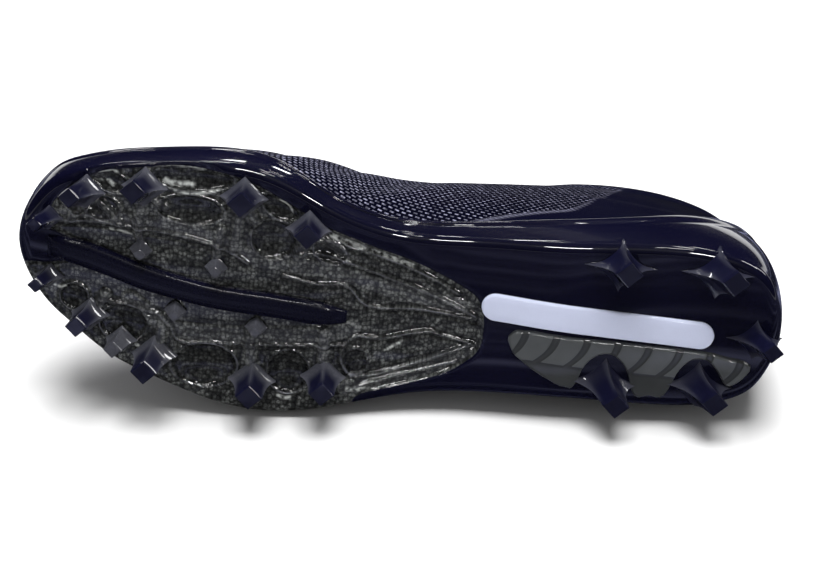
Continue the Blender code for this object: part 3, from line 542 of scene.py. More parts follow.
class Last:
    """The shoe's surfaces, standing on its studs, from the sizes and the tables."""

    def __init__(self, sizes, steps):
        self.sizes = sizes
        self.rails = closed_spline(self.make_rails(), steps)
        rim = column(OUTLINE, OUTLINE_COLUMNS, "rim")[:, None]
        self.rims = closed_spline(loop_rows(rim, rim), steps)[:, 0] * sizes.collar_height
        self.count = len(self.rails)
        self.heel = self.count // 2
        self.steps = steps
        self.flat = None

    def local_width(self, along):
        """Width that the outline's shares are of."""
        z = self.sizes
        return z.ball_width + (z.heel_width - z.ball_width) * blend(along, WAIST_START, WAIST_END)

    def local_height(self, along):
        """Height that the opening's shares are of."""
        z = self.sizes
        vamp = VAMP * z.toe_height
        front = vamp + (z.instep_height - vamp) * blend(along, VAMP_ALONG, INSTEP_ALONG)
        return front + (z.collar_height - front) * blend(along, INSTEP_ALONG, COLLAR_ALONG)

    def along(self, x):
        """Share of the length at x."""
        return np.asarray(x, float) / self.sizes.shoe_length + 0.5

    def plate_bottom(self, x):
        """Height of the plate's underside above the ground."""
        z = self.sizes
        along = self.along(x)
        toe = z.toe_spring * np.clip((BALL_ALONG - along) / BALL_ALONG, 0.0, None) ** 2
        arch = z.arch_rise * blend(along, *ARCH_UP) * (1.0 - blend(along, *ARCH_DOWN))
        return z.stud_height + toe + arch

    def outline_points(self, side):
        """Rows of the shell's outline on one side."""
        z = self.sizes
        along = column(OUTLINE, OUTLINE_COLUMNS, "along")
        share = column(OUTLINE, OUTLINE_COLUMNS, "outer" if side > 0 else "inner")
        across = side * share * self.local_width(along)
        across[0] = TOE_ACROSS * z.ball_width
        return np.column_stack([(along - 0.5) * z.shoe_length, across])

    def make_rails(self):
        """The four control rails of the upper."""
        z = self.sizes
        sides = {}
        loop = loop_rows(self.outline_points(1), self.outline_points(-1))
        feather_loop = inset_loop(loop, z.shell_wall + z.clearance)
        for side in (1, -1):
            tag = "outer" if side > 0 else "inner"
            outline = self.outline_points(side)
            picks = [i if side > 0 else (len(loop) - i) % len(loop) for i in range(len(OUTLINE))]
            feather = feather_loop[picks]
            outward = outline - feather
            outward /= np.linalg.norm(outward, axis=1)[:, None]
            base = self.plate_bottom(feather[:, 0]) + z.plate + z.clearance
            along, half, height, ridge = (
                column(OPENING, OPENING_COLUMNS, name) for name in OPENING_COLUMNS)
            top = np.column_stack([
                (along - 0.5) * z.shoe_length,
                (ridge + side * half) * z.ball_width,
                height * self.local_height(along),
            ])
            bottom = np.column_stack([feather, base])
            belly = bottom.copy()
            swell = column(SIDES, SIDE_COLUMNS, "belly_" + tag) * z.ball_width
            belly[:, :2] += outward * swell[:, None]
            belly[:, 2] += column(SIDES, SIDE_COLUMNS, "lift") * z.toe_height
            lead = bottom[:, :2] - top[:, :2]
            lead /= np.linalg.norm(lead, axis=1)[:, None]
            shoulder = top.copy()
            reach = column(SIDES, SIDE_COLUMNS, "shoulder_" + tag) * z.ball_width
            shoulder[:, :2] += lead * reach[:, None]
            shoulder[:, 2] -= column(SIDES, SIDE_COLUMNS, "drop_" + tag) * z.toe_height
            sides[side] = np.stack([bottom, belly, shoulder, top], axis=1)
        return loop_rows(sides[1], sides[-1])

    def point(self, level, rails=None):
        """Points of the upper's outer face at a level for each column."""
        rails = self.rails if rails is None else rails
        v = np.broadcast_to(np.asarray(level, float), (len(rails),))[:, None]
        u = 1.0 - v
        return (u ** 3 * rails[:, 0] + 3 * u * u * v * rails[:, 1]
                + 3 * u * v * v * rails[:, 2] + v ** 3 * rails[:, 3])

    def face(self, level, offset=0.0, climb=0.0):
        """Loop of the upper's face at a level, moved out along its normal and up along itself."""
        level = np.broadcast_to(np.asarray(level, float), (self.count,))
        step = 0.01
        here = self.point(level)
        up = self.point(np.minimum(level + step, 1.0)) - self.point(np.maximum(level - step, 0.0))
        up /= np.linalg.norm(up, axis=1)[:, None]
        along = np.roll(here, -1, axis=0) - np.roll(here, 1, axis=0)
        normal = np.cross(up, along)
        normal /= np.linalg.norm(normal, axis=1)[:, None]
        offset = np.broadcast_to(np.asarray(offset, float), (self.count,))[:, None]
        return here + normal * offset + up * climb

    def rim_levels(self):
        """Level on the upper that the shell's rim reaches, for each column."""
        levels = np.linspace(0.0, 1.0, 101)
        heights = np.stack([self.point(v)[:, 2] for v in levels], axis=1) - self.rails[:, 0, 2][:, None]
        return np.array([np.interp(self.rims[k], heights[k], levels) for k in range(self.count)])

    def spine(self):
        """The plate's middle line, one point for each column."""
        z = self.sizes
        low = self.face(0.0)
        mirror = low[(-np.arange(self.count)) % self.count]
        middle = (low[:, :2] + mirror[:, :2]) / 2.0
        reach = 0.5 * z.shoe_length
        middle[:, 0] *= (reach - 2.0 * z.edge_round) / reach
        return middle

    def flat_edge(self):
        """Closed plan curve around the flat of the plate."""
        z = self.sizes
        if self.flat is None:
            self.flat = inset_loop(self.face(0.0, z.shell_wall + z.clearance)[:, :2], z.edge_round)
        return self.flat

    def shell_low(self, x, y):
        """Height of the shell's underside at plan points, with its rounded edge."""
        z = self.sizes
        edge = [tuple(point) for point in self.flat_edge()[::4]]
        beyond = np.where(inside(x, y, edge), 0.0, line_distance(x, y, edge + edge[:1]))
        share = 1.0 - np.sqrt(1.0 - np.clip(beyond / z.edge_round, 0.0, 1.0))
        return self.plate_bottom(x) + share ** 2 * (z.plate + z.clearance)

    def plate_edge(self, x, side):
        """Where the plate's flat ends at x, on one side."""
        loop = self.flat_edge()
        picks = np.arange(self.heel + 1)
        if side < 0:
            picks = (self.count - picks) % self.count
        return float(np.interp(x, loop[picks, 0], loop[picks, 1]))

    def face_at(self, along, side, level, offset):
        """One point of the upper's face, by its place along the opening."""
        top = self.along(self.rails[:self.heel + 1, 3, 0])
        place = float(np.interp(along, top, np.arange(self.heel + 1)))
        low = int(place)
        loop = self.face(level, offset)
        picks = [k if side > 0 else (self.count - k) % self.count for k in (low, min(low + 1, self.heel))]
        return loop[picks[0]] * (1.0 - place + low) + loop[picks[1]] * (place - low)


def pose_of(last):
    """Matrix that lays the standing shoe down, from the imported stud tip."""
    z = last.sizes
    tip = next(m for m in frame["record"]["mounts"] if m["name"] == "forefoot_stud_tip")
    down = Vector(tip["axis"]).normalized()
    toe_to_heel = Vector((-down.z, 0.0, down.x))
    toe_to_heel *= math.copysign(1.0, toe_to_heel.x) / toe_to_heel.length
    up = -down
    across = up.cross(toe_to_heel)
    turn = Matrix((toe_to_heel, across, up)).transposed()
    stud = next(row for row in named_rows(STUDS, STUD_COLUMNS) if row["name"] == "stud_inner_3")
    x, y, away = stud_place(last, stud)
    low = last.plate_bottom(x) - z.clearance - z.stud_height * stud["tall"]
    local = Vector((x + away[0], y + away[1], low))
    shift = Vector(tip["pos_m"]) - turn @ local
    return Matrix.Translation(shift) @ turn.to_4x4()


def stud_place(last, stud):
    """Place of a stud on the plate and the shift of its tip."""
    z = last.sizes
    x = (stud["along"] - 0.5) * z.shoe_length
    inner, outer = last.plate_edge(x, -1), last.plate_edge(x, 1)
    y = inner + (outer - inner) * stud["across"]
    away = np.array([LEAN_ENDS * (stud["along"] - 0.5) ** 3 * z.shoe_length, y - 0.5 * (inner + outer)])
    away *= stud["lean"] * stud["size"] * z.stud_size / np.linalg.norm(away)
    return x, y, away


def lay(points, pose):
    """Standing points in the lying shoe's frame."""
    points = np.asarray(points, float)
    matrix = np.array(pose)
    return points @ matrix[:3, :3].T + matrix[:3, 3]


def rest_on_floor(points):
    """Press what would reach below the floor flat against it."""
    points[..., 2] = np.maximum(points[..., 2], 0.00002)
    return points


MADE = {}


def context_last():
    """The last and the pose, made once from the scene's sizes."""
    if "last" not in MADE:
        MADE["last"] = Last(bpy.context.scene.cleat_sizes, LOOP_STEPS)
        MADE["pose"] = pose_of(MADE["last"])
    return MADE["last"], MADE["pose"]


def deselect():
    """Leave edit mode and deselect everything."""
    if bpy.context.object and bpy.context.object.mode != "OBJECT":
        bpy.ops.object.mode_set(mode="OBJECT")
    bpy.ops.object.select_all(action="DESELECT")


def select(*objects):
    """Select these objects alone, with the first one active."""
    deselect()
    for obj in objects:
        obj.select_set(True)
    bpy.context.view_layer.objects.active = objects[0]


def joined(name, pieces):
    """Several objects joined into one smooth piece."""
    select(*pieces)
    bpy.ops.object.join()
    pieces[0].name = name
    pieces[0].data.shade_smooth()
    return pieces[0]


def keep(obj, material, slot, *nodes):
    """Give a finished piece its material and hang it on the frame."""
    obj.data.materials.append(material)
    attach(obj, "root")
    if nodes:
        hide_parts(*nodes)
    return obj


def add_layer(mesh, name, values):
    """Point attribute of a mesh, for its material."""
    attribute = mesh.attributes.new(name, "FLOAT", "POINT")
    attribute.data.foreach_set("value", np.asarray(values, np.float32).ravel())


def sheet_mesh(name, loops, around=True, layers=None, flat=None):
    """Object of quads between stacked loops, with point attributes and a UV map of its own."""
    rows, count = loops.shape[:2]
    mesh = bpy.data.meshes.new(name)
    points = loops.reshape(-1, 3)
    i, j = np.meshgrid(np.arange(rows - 1), np.arange(count if around else count - 1), indexing="ij")
    beside = (j + 1) % count
    corners = [i * count + j, i * count + beside, (i + 1) * count + beside, (i + 1) * count + j]
    quads = np.stack(corners, axis=-1).reshape(-1, 4)
    mesh.vertices.add(len(points))
    mesh.vertices.foreach_set("co", points.astype(np.float32).ravel())
    mesh.loops.add(quads.size)
    mesh.loops.foreach_set("vertex_index", quads.astype(np.int32).ravel())
    mesh.polygons.add(len(quads))
    mesh.polygons.foreach_set("loop_start", (np.arange(len(quads)) * 4).astype(np.int32))
    mesh.polygons.foreach_set("loop_total", np.full(len(quads), 4, np.int32))
    mesh.update(calc_edges=True)
    for key, values in (layers or {}).items():
        add_layer(mesh, key, values)
    if flat is not None:
        uv = mesh.uv_layers.new(name="flat")
        uv.data.foreach_set("uv", flat.reshape(-1, 2)[quads.ravel()].astype(np.float32).ravel())
    obj = bpy.data.objects.new(name, mesh)
    bpy.context.scene.collection.objects.link(obj)
    return obj


def close_and_face(obj):
    """Merge doubles and turn the faces of a closed body outwards."""
    bm = bmesh.new()
    bm.from_mesh(obj.data)
    bmesh.ops.remove_doubles(bm, verts=bm.verts, dist=1e-6)
    bmesh.ops.dissolve_degenerate(bm, edges=bm.edges, dist=1e-7)
    bmesh.ops.recalc_face_normals(bm, faces=bm.faces)
    if bm.calc_volume(signed=True) < 0.0:
        bmesh.ops.reverse_faces(bm, faces=bm.faces)
    bm.to_mesh(obj.data)
    bm.free()
    obj.data.shade_smooth()


def extruded(name, loops):
    """A closed body made by hand: a disc extruded ring by ring, each ring set to its loop."""
    deselect()
    count = len(loops[0])
    bpy.ops.mesh.primitive_circle_add(vertices=count, radius=1.0, fill_type="NGON")
    obj = bpy.context.object
    obj.name = name
    bpy.ops.object.mode_set(mode="EDIT")
    bpy.ops.mesh.select_all(action="SELECT")
    for _ in range(len(loops) - 1):
        bpy.ops.mesh.extrude_region_move(TRANSFORM_OT_translate={"value": (0.0, 0.0, 1.0)})
    bpy.ops.object.mode_set(mode="OBJECT")
    points = np.empty(len(obj.data.vertices) * 3)
    obj.data.vertices.foreach_get("co", points)
    points = points.reshape(-1, 3)
    turn = np.round(np.arctan2(points[:, 0], points[:, 1]) / (2.0 * math.pi) * count).astype(int) % count
    ring = np.round(points[:, 2]).astype(int)
    placed = np.asarray(loops)[ring, turn]
    obj.data.vertices.foreach_set("co", placed.astype(np.float32).ravel())
    obj.data.update()
    close_and_face(obj)
    return obj


def apply_modifiers(obj):
    """Apply an object's modifiers in order."""
    select(obj)
    for modifier in list(obj.modifiers):
        bpy.ops.object.modifier_apply(modifier=modifier.name)


def new_material(name, roughness, coat=0.0, coat_roughness=0.05, sheen=0.0, specular=0.5):
    """A material with its plain numbers set on the shader itself."""
    mat = bpy.data.materials.new(name)
    mat.use_nodes = True
    shader = mat.node_tree.nodes["Principled BSDF"]
    shader.inputs["Roughness"].default_value = roughness
    shader.inputs["Coat Weight"].default_value = coat
    shader.inputs["Coat Roughness"].default_value = coat_roughness
    shader.inputs["Sheen Weight"].default_value = sheen
    shader.inputs["Sheen Roughness"].default_value = 0.35
    shader.inputs["Specular IOR Level"].default_value = specular
    return mat, mat.node_tree, shader


def node(tree, kind, inputs=None, **settings):
    """A new node; an input is a number, a colour or another node's socket."""
    made = tree.nodes.new(kind)
    for key, value in settings.items():
        setattr(made, key, value)
    for key, value in (inputs or {}).items():
        if isinstance(value, bpy.types.NodeSocket):
            tree.links.new(value, made.inputs[key])
        else:
            made.inputs[key].default_value = value
    return made


def maths(tree, operation, a, b, clamp=False):
    """Socket of one Math node."""
    return node(tree, "ShaderNodeMath", {0: a, 1: b}, operation=operation, use_clamp=clamp).outputs[0]


def ramp(tree, value, low, high, out_low=0.0, out_high=1.0):
    """Socket of a smooth Map Range node."""
    return node(tree, "ShaderNodeMapRange", {
        "Value": value, "From Min": low, "From Max": high, "To Min": out_low, "To Max": out_high},
        interpolation_type="SMOOTHSTEP").outputs["Result"]


def mixed(tree, factor, a, b):
    """Colour socket between two colours."""
    made = node(tree, "ShaderNodeMix", data_type="RGBA")
    for socket, value in ((made.inputs[0], factor), (made.inputs[6], a), (made.inputs[7], b)):
        if isinstance(value, bpy.types.NodeSocket):
            tree.links.new(value, socket)
        elif socket == made.inputs[0]:
            socket.default_value = value
        else:
            socket.default_value = (*value, 1.0)
    return made.outputs[2]


def layer(tree, name):
    """Socket of a point attribute."""
    return node(tree, "ShaderNodeAttribute", attribute_name=name).outputs["Fac"]


def times(tree, a, b, clamp=False):
    """Socket of a product."""
    return maths(tree, "MULTIPLY", a, b, clamp)


def scaled(paint, share):
    """A colour made darker or lighter."""
    return tuple(min(c * share, 1.0) for c in paint)


def cover(tree, shader, paint):
    """Set a shader's colour from a socket."""
    tree.links.new(paint, shader.inputs["Base Color"])


def object_noise(tree, scale, detail=3.0, rough=0.5):
    """Noise on Object coordinates."""
    where = node(tree, "ShaderNodeTexCoord").outputs["Object"]
    return node(tree, "ShaderNodeTexNoise", {
        "Vector": where, "Scale": scale, "Detail": detail, "Roughness": rough}).outputs["Fac"]


def bump(tree, height, distance, strength, below=None):
    """Normal socket of a relief, on top of another one if it is given."""
    inputs = {"Height": height, "Distance": distance, "Strength": strength}
    if below is not None:
        inputs["Normal"] = below
    return node(tree, "ShaderNodeBump", inputs).outputs["Normal"]


def emboss(tree, shader, height, distance, strength):
    """Relief on a shader's normal."""
    tree.links.new(bump(tree, height, distance, strength), shader.inputs["Normal"])


def weave_sockets(tree, colours):
    """Colour and height of the woven sheet under the clear window."""
    flat = node(tree, "ShaderNodeUVMap", uv_map="flat").outputs["UV"]

    def flat_noise(scale, detail):
        return node(tree, "ShaderNodeTexNoise", {"Vector": flat, "Scale": scale, "Detail": detail})

    drift = node(tree, "ShaderNodeVectorMath", {
        0: flat_noise(420.0, 2.0).outputs["Color"], 1: (0.0014, 0.0014, 0.0)}, operation="MULTIPLY")
    where = node(tree, "ShaderNodeVectorMath", {0: flat, 1: drift.outputs["Vector"]}, operation="ADD")
    cells = node(tree, "ShaderNodeTexVoronoi", {
        "Vector": where.outputs["Vector"], "Scale": 600.0, "Randomness": 0.70}, voronoi_dimensions="2D")
    tone = node(tree, "ShaderNodeSeparateColor", {"Color": cells.outputs["Color"]}).outputs["Red"]
    gap = ramp(tree, cells.outputs["Distance"], 0.08, 0.72, 1.0, 0.12)
    broad, fine = flat_noise(150.0, 4.0).outputs["Fac"], flat_noise(1900.0, 3.0).outputs["Fac"]
    level = times(tree, ramp(tree, tone, 0.05, 0.95, 0.22, 1.0), gap)
    level = times(tree, level, ramp(tree, broad, 0.34, 0.66, 0.40, 1.20))
    level = times(tree, level, ramp(tree, fine, 0.30, 0.70, 0.35, 1.50))
    level = times(tree, level, ramp(tree, layer(tree, "haze"), 0.0, 0.4, 0.70, 1.30))
    # Painted shade: the weave drawn darker inside the bowls
    level = times(tree, level, ramp(tree, layer(tree, "painted_bowl_shade"), 0.0, 1.0, 1.0, 0.50), clamp=True)
    return mixed(tree, level, tuple(colours.weave_dark), tuple(colours.weave_light)), gap


def shell_material(colours):
    """Glossy moulded shell: navy plastic around a clear window over a woven sheet."""
    mat, tree, shader = new_material("shell", 0.30, coat=1.0, coat_roughness=0.035, specular=0.05)
    line, window = layer(tree, "line"), layer(tree, "window")
    clear, woven_height = weave_sockets(tree, colours)
    shade = times(tree, layer(tree, "shade"), 0.85)
    clear = mixed(tree, shade, clear, scaled(colours.weave_dark, 0.6))
    streak = ramp(tree, object_noise(tree, 210.0, 3.0), 0.30, 0.70, 0.25, 0.60)
    clear = mixed(tree, times(tree, layer(tree, "haze"), streak), clear, tuple(colours.clear))
    # Moulded lines drawn paler: partly the haze of the clear ridges, partly a painted highlight, broken up
    # by noise
    broken = ramp(tree, object_noise(tree, 130.0, 2.0), 0.40, 0.66, 0.25, 0.85)
    painted_line_highlight = times(tree, ramp(tree, line, 0.05, 0.42, 1.0, 0.0), broken)
    clear = mixed(tree, painted_line_highlight, clear, scaled(colours.clear, 1.7))
    # Painted highlight: pale glare patches laid over the clear plastic's colour, broken up by noise
    painted_glare_mask = times(tree, layer(tree, "painted_glare"), ramp(tree, object_noise(tree, 420.0, 3.0), 0.32, 0.66))
    clear = mixed(tree, painted_glare_mask, clear, scaled(colours.weave_light, 3.4))
    navy = mixed(tree, object_noise(tree, 26.0), scaled(colours.shell, 0.80), scaled(colours.shell, 1.50))
    inside_window = ramp(tree, window, -0.20, 0.20)
    cover(tree, shader, mixed(tree, inside_window, navy, clear))
    ridge = times(tree, ramp(tree, line, 0.0, 0.8, 1.0, 0.0), inside_window)
    step = maths(tree, "ADD", ridge, times(tree, ramp(tree, window, -0.35, 0.35), -0.7))
    moulded = bump(tree, step, 0.0004, 0.5)
    waves = bump(tree, object_noise(tree, 17.0, 0.0), 0.0030, 0.40, moulded)
    tree.links.new(waves, shader.inputs["Coat Normal"])
    woven = bump(tree, times(tree, inside_window, woven_height), 0.0005, 0.5, moulded)
    tree.links.new(woven, shader.inputs["Normal"])
    return mat


def stud_material(colours):
    """Navy stud that turns clear towards its root."""
    mat, tree, shader = new_material("studs", 0.35, coat=1.0, coat_roughness=0.06, specular=0.15)
    drift = object_noise(tree, 320.0)
    navy = mixed(tree, drift, scaled(colours.stud, 0.8), scaled(colours.stud, 1.35))
    streak = object_noise(tree, 1400.0, 2.0)
    clear = mixed(tree, streak, scaled(colours.clear, 0.45), scaled(colours.clear, 1.20))
    body = mixed(tree, layer(tree, "root"), navy, clear)
    # Painted highlight: paler lines along the fin edges, in the clear plastic's colour
    cover(tree, shader, mixed(tree, layer(tree, "ridge"), body, scaled(colours.clear, 1.2)))
    emboss(tree, shader, streak, 0.00008, 0.4)
    return mat


def plastic_material(name, colour, roughness, coat, grain, depth):
    """Moulded plastic with a fine grain."""
    mat, tree, shader = new_material(name, roughness, coat=coat, coat_roughness=0.08, specular=0.1)
    cloud = object_noise(tree, 60.0)
    cover(tree, shader, mixed(tree, cloud, scaled(colour, 0.90), scaled(colour, 1.08)))
    fine = object_noise(tree, grain, 2.0)
    emboss(tree, shader, fine, depth, 0.5)
    rough = ramp(tree, fine, 0.3, 0.7, roughness * 0.8, roughness * 1.25)
    tree.links.new(rough, shader.inputs["Roughness"])
    return mat


def panel_material(colours):
    """Glossy grey cells between darker stripes, on a plain darker field."""
    mat, tree, shader = new_material("panel", 0.30, coat=1.0, coat_roughness=0.04, specular=0.1)
    cloud = object_noise(tree, 160.0)
    cell = ramp(tree, layer(tree, "cell"), -0.15, 0.25)
    grey = mixed(tree, cloud, scaled(colours.panel, 0.85), scaled(colours.panel, 1.15))
    plain = mixed(tree, cloud, scaled(colours.panel, 0.42), scaled(colours.panel, 0.58))
    stripe = maths(tree, "SUBTRACT", ramp(tree, layer(tree, "cell"), -2.0, -0.1), cell, clamp=True)
    cover(tree, shader, mixed(tree, stripe, mixed(tree, cell, plain, grey), scaled(colours.panel, 0.38)))
    emboss(tree, shader, object_noise(tree, 1500.0, 2.0), 0.00004, 0.3)
    return mat


def bricks(tree, vector, width, height, gap, smooth):
    """1 on the bricks of a pattern laid out in millimetres, 0 between them."""
    made = node(tree, "ShaderNodeTexBrick", {
        "Vector": vector, "Scale": 1000.0, "Mortar Size": gap, "Mortar Smooth": smooth,
        "Brick Width": width, "Row Height": height, "Bias": 0.0}, offset=0.5, offset_frequency=2)
    return maths(tree, "SUBTRACT", 1.0, made.outputs["Fac"])


def upper_material(colours):
    """Navy cloth with silver dashes, a plain knit quarter and a smooth heel."""
    mat, tree, shader = new_material("upper", 0.70, specular=0.01)
    flat = node(tree, "ShaderNodeUVMap", uv_map="flat").outputs["UV"]
    slant = (0.0, 0.0, math.radians(DASH_SLANT))
    turned = node(tree, "ShaderNodeMapping", {"Vector": flat, "Rotation": slant}).outputs["Vector"]
    where = node(tree, "ShaderNodeTexCoord").outputs["Object"]
    rearwards = node(tree, "ShaderNodeSeparateXYZ", {"Vector": where}).outputs["X"]
    gap = ramp(tree, rearwards, -0.03, 0.05, 0.54, 0.70)
    dashes = bricks(tree, turned, 2.60, 1.80, gap, 0.20)
    loops = bricks(tree, flat, 1.70, 1.00, 0.20, 0.9)
    mesh, knit = layer(tree, "mesh"), layer(tree, "knit")
    cloud = object_noise(tree, 45.0)
    cloth = mixed(tree, cloud, scaled(colours.cloth, 0.10), scaled(colours.cloth, 0.26))
    ribs = times(tree, loops, knit)
    knitted = mixed(tree, ribs, cloth, scaled(colours.cloth, 0.42))
    shine = object_noise(tree, 620.0, 2.0)
    silver = mixed(tree, ramp(tree, shine, 0.35, 0.65), scaled(colours.thread, 0.25), tuple(colours.thread))
    fray = ramp(tree, object_noise(tree, 900.0, 2.0), 0.30, 0.62, 0.25, 1.0)
    on = times(tree, times(tree, dashes, mesh), fray)
    woven = mixed(tree, on, knitted, silver)
    cover(tree, shader, mixed(tree, layer(tree, "seam"), woven, scaled(colours.thread, 0.45)))
    grain = object_noise(tree, 2600.0, 2.0)
    height = maths(tree, "ADD", on, ribs)
    height = maths(tree, "ADD", height, times(tree, grain, 0.25))
    emboss(tree, shader, height, 0.00035, 0.8)
    return mat


def knit_material(name, colour, pitch):
    """Plain knitted cloth on Object coordinates."""
    mat, tree, shader = new_material(name, 0.80, sheen=0.03, specular=0.03)
    where = node(tree, "ShaderNodeTexCoord").outputs["Object"]
    cells = node(tree, "ShaderNodeTexVoronoi", {"Vector": where, "Scale": 1.0 / pitch, "Randomness": 0.35})
    loops = ramp(tree, cells.outputs["Distance"], 0.15, 0.70, 1.0, 0.0)
    cloud = object_noise(tree, 70.0)
    base = mixed(tree, cloud, scaled(colour, 0.8), scaled(colour, 1.3))
    cover(tree, shader, mixed(tree, loops, scaled(colour, 0.35), base))
    emboss(tree, shader, loops, 0.00035, 0.8)
    return mat


def floor_material(colour):
    """Pale matte floor."""
    mat, tree, shader = new_material("floor", 0.85, specular=0.15)
    cloud = object_noise(tree, 3.0)
    cover(tree, shader, mixed(tree, cloud, scaled(colour, 0.985), scaled(colour, 1.01)))
    return mat


def card_material():
    """Dark card with soft streaks, seen only as reflections in the sole."""
    mat, tree, shader = new_material("card", 0.9, specular=0.0)
    where = node(tree, "ShaderNodeTexCoord").outputs["Object"]
    drawn = node(tree, "ShaderNodeMapping", {"Vector": where, "Scale": (2.0, 21.0, 1.0)}).outputs["Vector"]
    streaks = node(tree, "ShaderNodeTexNoise", {"Vector": drawn, "Scale": 1.0, "Detail": 2.0})
    level = ramp(tree, streaks.outputs["Fac"], 0.44, 0.80)
    cover(tree, shader, mixed(tree, level, (0.004, 0.004, 0.007), (0.40, 0.42, 0.66)))
    return mat


def line_distance(x, y, points):
    """Distance of plan points from a broken line."""
    best = np.full(x.shape, 1e9)
    for (ax, ay), (bx, by) in zip(points, points[1:]):
        dx, dy = bx - ax, by - ay
        t = np.clip(((x - ax) * dx + (y - ay) * dy) / (dx * dx + dy * dy), 0.0, 1.0)
        best = np.minimum(best, np.hypot(x - ax - t * dx, y - ay - t * dy))
    return best


def inside(x, y, points):
    """True where plan points lie inside a closed outline."""
    found = np.zeros(x.shape, bool)
    for (ax, ay), (bx, by) in zip(points, points[1:] + points[:1]):
        crosses = (ay > y) != (by > y)
        rise = by - ay if by != ay else 1.0
        found ^= crosses & (ax + (y - ay) * (bx - ax) / rise > x)
    return found


def smooth_line(points, steps=8):
    """A broken line made smooth, in millimetres in plan."""
    points = np.asarray(points, float)
    if len(points) < 3:
        return [tuple(p) for p in points]
    t = np.arange(len(points))
    fine = np.linspace(0, len(points) - 1, (len(points) - 1) * steps + 1)
    return list(zip(smooth_table(t, points[:, 0], fine), smooth_table(t, points[:, 1], fine)))


def plan(last, points):
    """Table points, along and millimetres across, as millimetres in plan."""
    return [((along - 0.5) * last.sizes.shoe_length / MM, across) for along, across in points]


def tread(last, x, y):
    """Relief below the plate in metres, and the shader's layers, at plan points in metres."""
    x, y = x / MM, y / MM
    window = smooth_line(plan(last, WINDOW) + plan(last, WINDOW[:1]), 5)[:-1]
    edge = line_distance(x, y, window + window[:1])
    signed = np.where(inside(x, y, window), edge, -edge)
    clear = blend(signed, 0.0, 2.4)
    height = -WINDOW_STEP * blend(signed, -0.5, 1.3)
    haze = np.zeros(x.shape)
    line = np.full(x.shape, NO_LINE)
    shade, painted_bowl_shade = np.zeros(x.shape), np.zeros(x.shape)
    for band in named_rows(BANDS, BAND_COLUMNS):
        away = line_distance(x, y, smooth_line(plan(last, band["points"])))
        haze = np.maximum(haze, 0.42 * (1.0 - blend(away, 0.8 * band["half"], 1.15 * band["half"])))
        height += clear * 0.30 * (1.0 - blend(away, 0.8 * band["half"], 1.1 * band["half"]))
    for strut in named_rows(STRUTS, LINE_COLUMNS):
        away = line_distance(x, y, plan(last, strut["points"]))
        bar = np.clip(1.0 - (away / (1.7 * strut["half"])) ** 2, 0.0, 1.0) ** 0.8
        raised = clear * (bar * (strut["height"] + 1.2) - 1.2) + (1.0 - clear) * height
        height = np.where(bar > 0.0, np.maximum(height, raised), height)
        haze = np.maximum(haze, 0.60 * bar)
        line = np.minimum(line, np.abs(away - strut["half"] * 0.9) + 0.12)
    for bowl in named_rows(BOWLS, BOWL_COLUMNS):
        dx = x - (bowl["along"] - 0.5) * last.sizes.shoe_length / MM
        dy = y - bowl["across"]
        turn = math.radians(bowl["turn"])
        u = dx * math.cos(turn) + dy * math.sin(turn)
        v = -dx * math.sin(turn) + dy * math.cos(turn)
        radius = np.hypot(u / bowl["reach"], v / bowl["half"])
        size = min(bowl["reach"], bowl["half"]) * (0.6 + 0.4 * bowl["reach"] / bowl["half"])
        out = (radius - 1.0) * min(size, 8.0)
        hollow = 0.55 * (1.0 - blend(out, -0.9, 0.0)) + 0.45 * (1.0 - blend(radius, 0.1, 0.9))
        lip = 0.45 * np.exp(-((out - 0.5) / 0.5) ** 2)
        height += clear * (lip - bowl["depth"] * hollow)
        within = 1.0 - blend(out, -1.0, 0.0)
        haze = haze * (1.0 - 0.8 * within)
        # Painted shade inside the bowls, for the weave's colour
        painted_bowl_shade = np.maximum(painted_bowl_shade, within)
        shade = np.maximum(shade, 0.9 * within * blend(out, -1.7, -0.5))
        line = np.minimum(line, np.abs(out - 0.15))
    for groove in named_rows(LINES, LINE_COLUMNS):
        away = line_distance(x, y, smooth_line(plan(last, groove["points"])))
        height += clear * groove["height"] * np.exp(-(away / groove["half"]) ** 2)
        height -= clear * 0.6 * groove["height"] * np.exp(-((away - 1.5) / 0.6) ** 2)
        line = np.minimum(line, away)
        shade = np.maximum(shade, 0.8 * np.exp(-((away - 1.25) / 0.55) ** 2))
    # Painted highlight: where the pale glare patches are painted
    painted_glare = np.zeros(x.shape)
    for streak in named_rows(PAINTED_GLARES, BAND_COLUMNS):
        away = line_distance(x, y, smooth_line(plan(last, streak["points"])))
        painted_glare = np.maximum(painted_glare, np.clip(1.3 - away / streak["half"], 0.0, 1.0))
    layers = {
        "window": signed,
        "painted_glare": painted_glare,
        "line": line,
        "haze": np.clip(haze * clear, 0.0, 1.0),
        "shade": np.clip(shade * clear, 0.0, 1.0),
        "painted_bowl_shade": painted_bowl_shade,
    }
    return height * MM, layers


def flat_map(points, lift_from):
    """UV of the sole: plan place in metres, with the walls unrolled sideways."""
    wall = np.maximum(points[..., 2] - lift_from, 0.0)
    return np.stack([points[..., 0], points[..., 1] + np.sign(points[..., 1]) * wall], axis=-1)


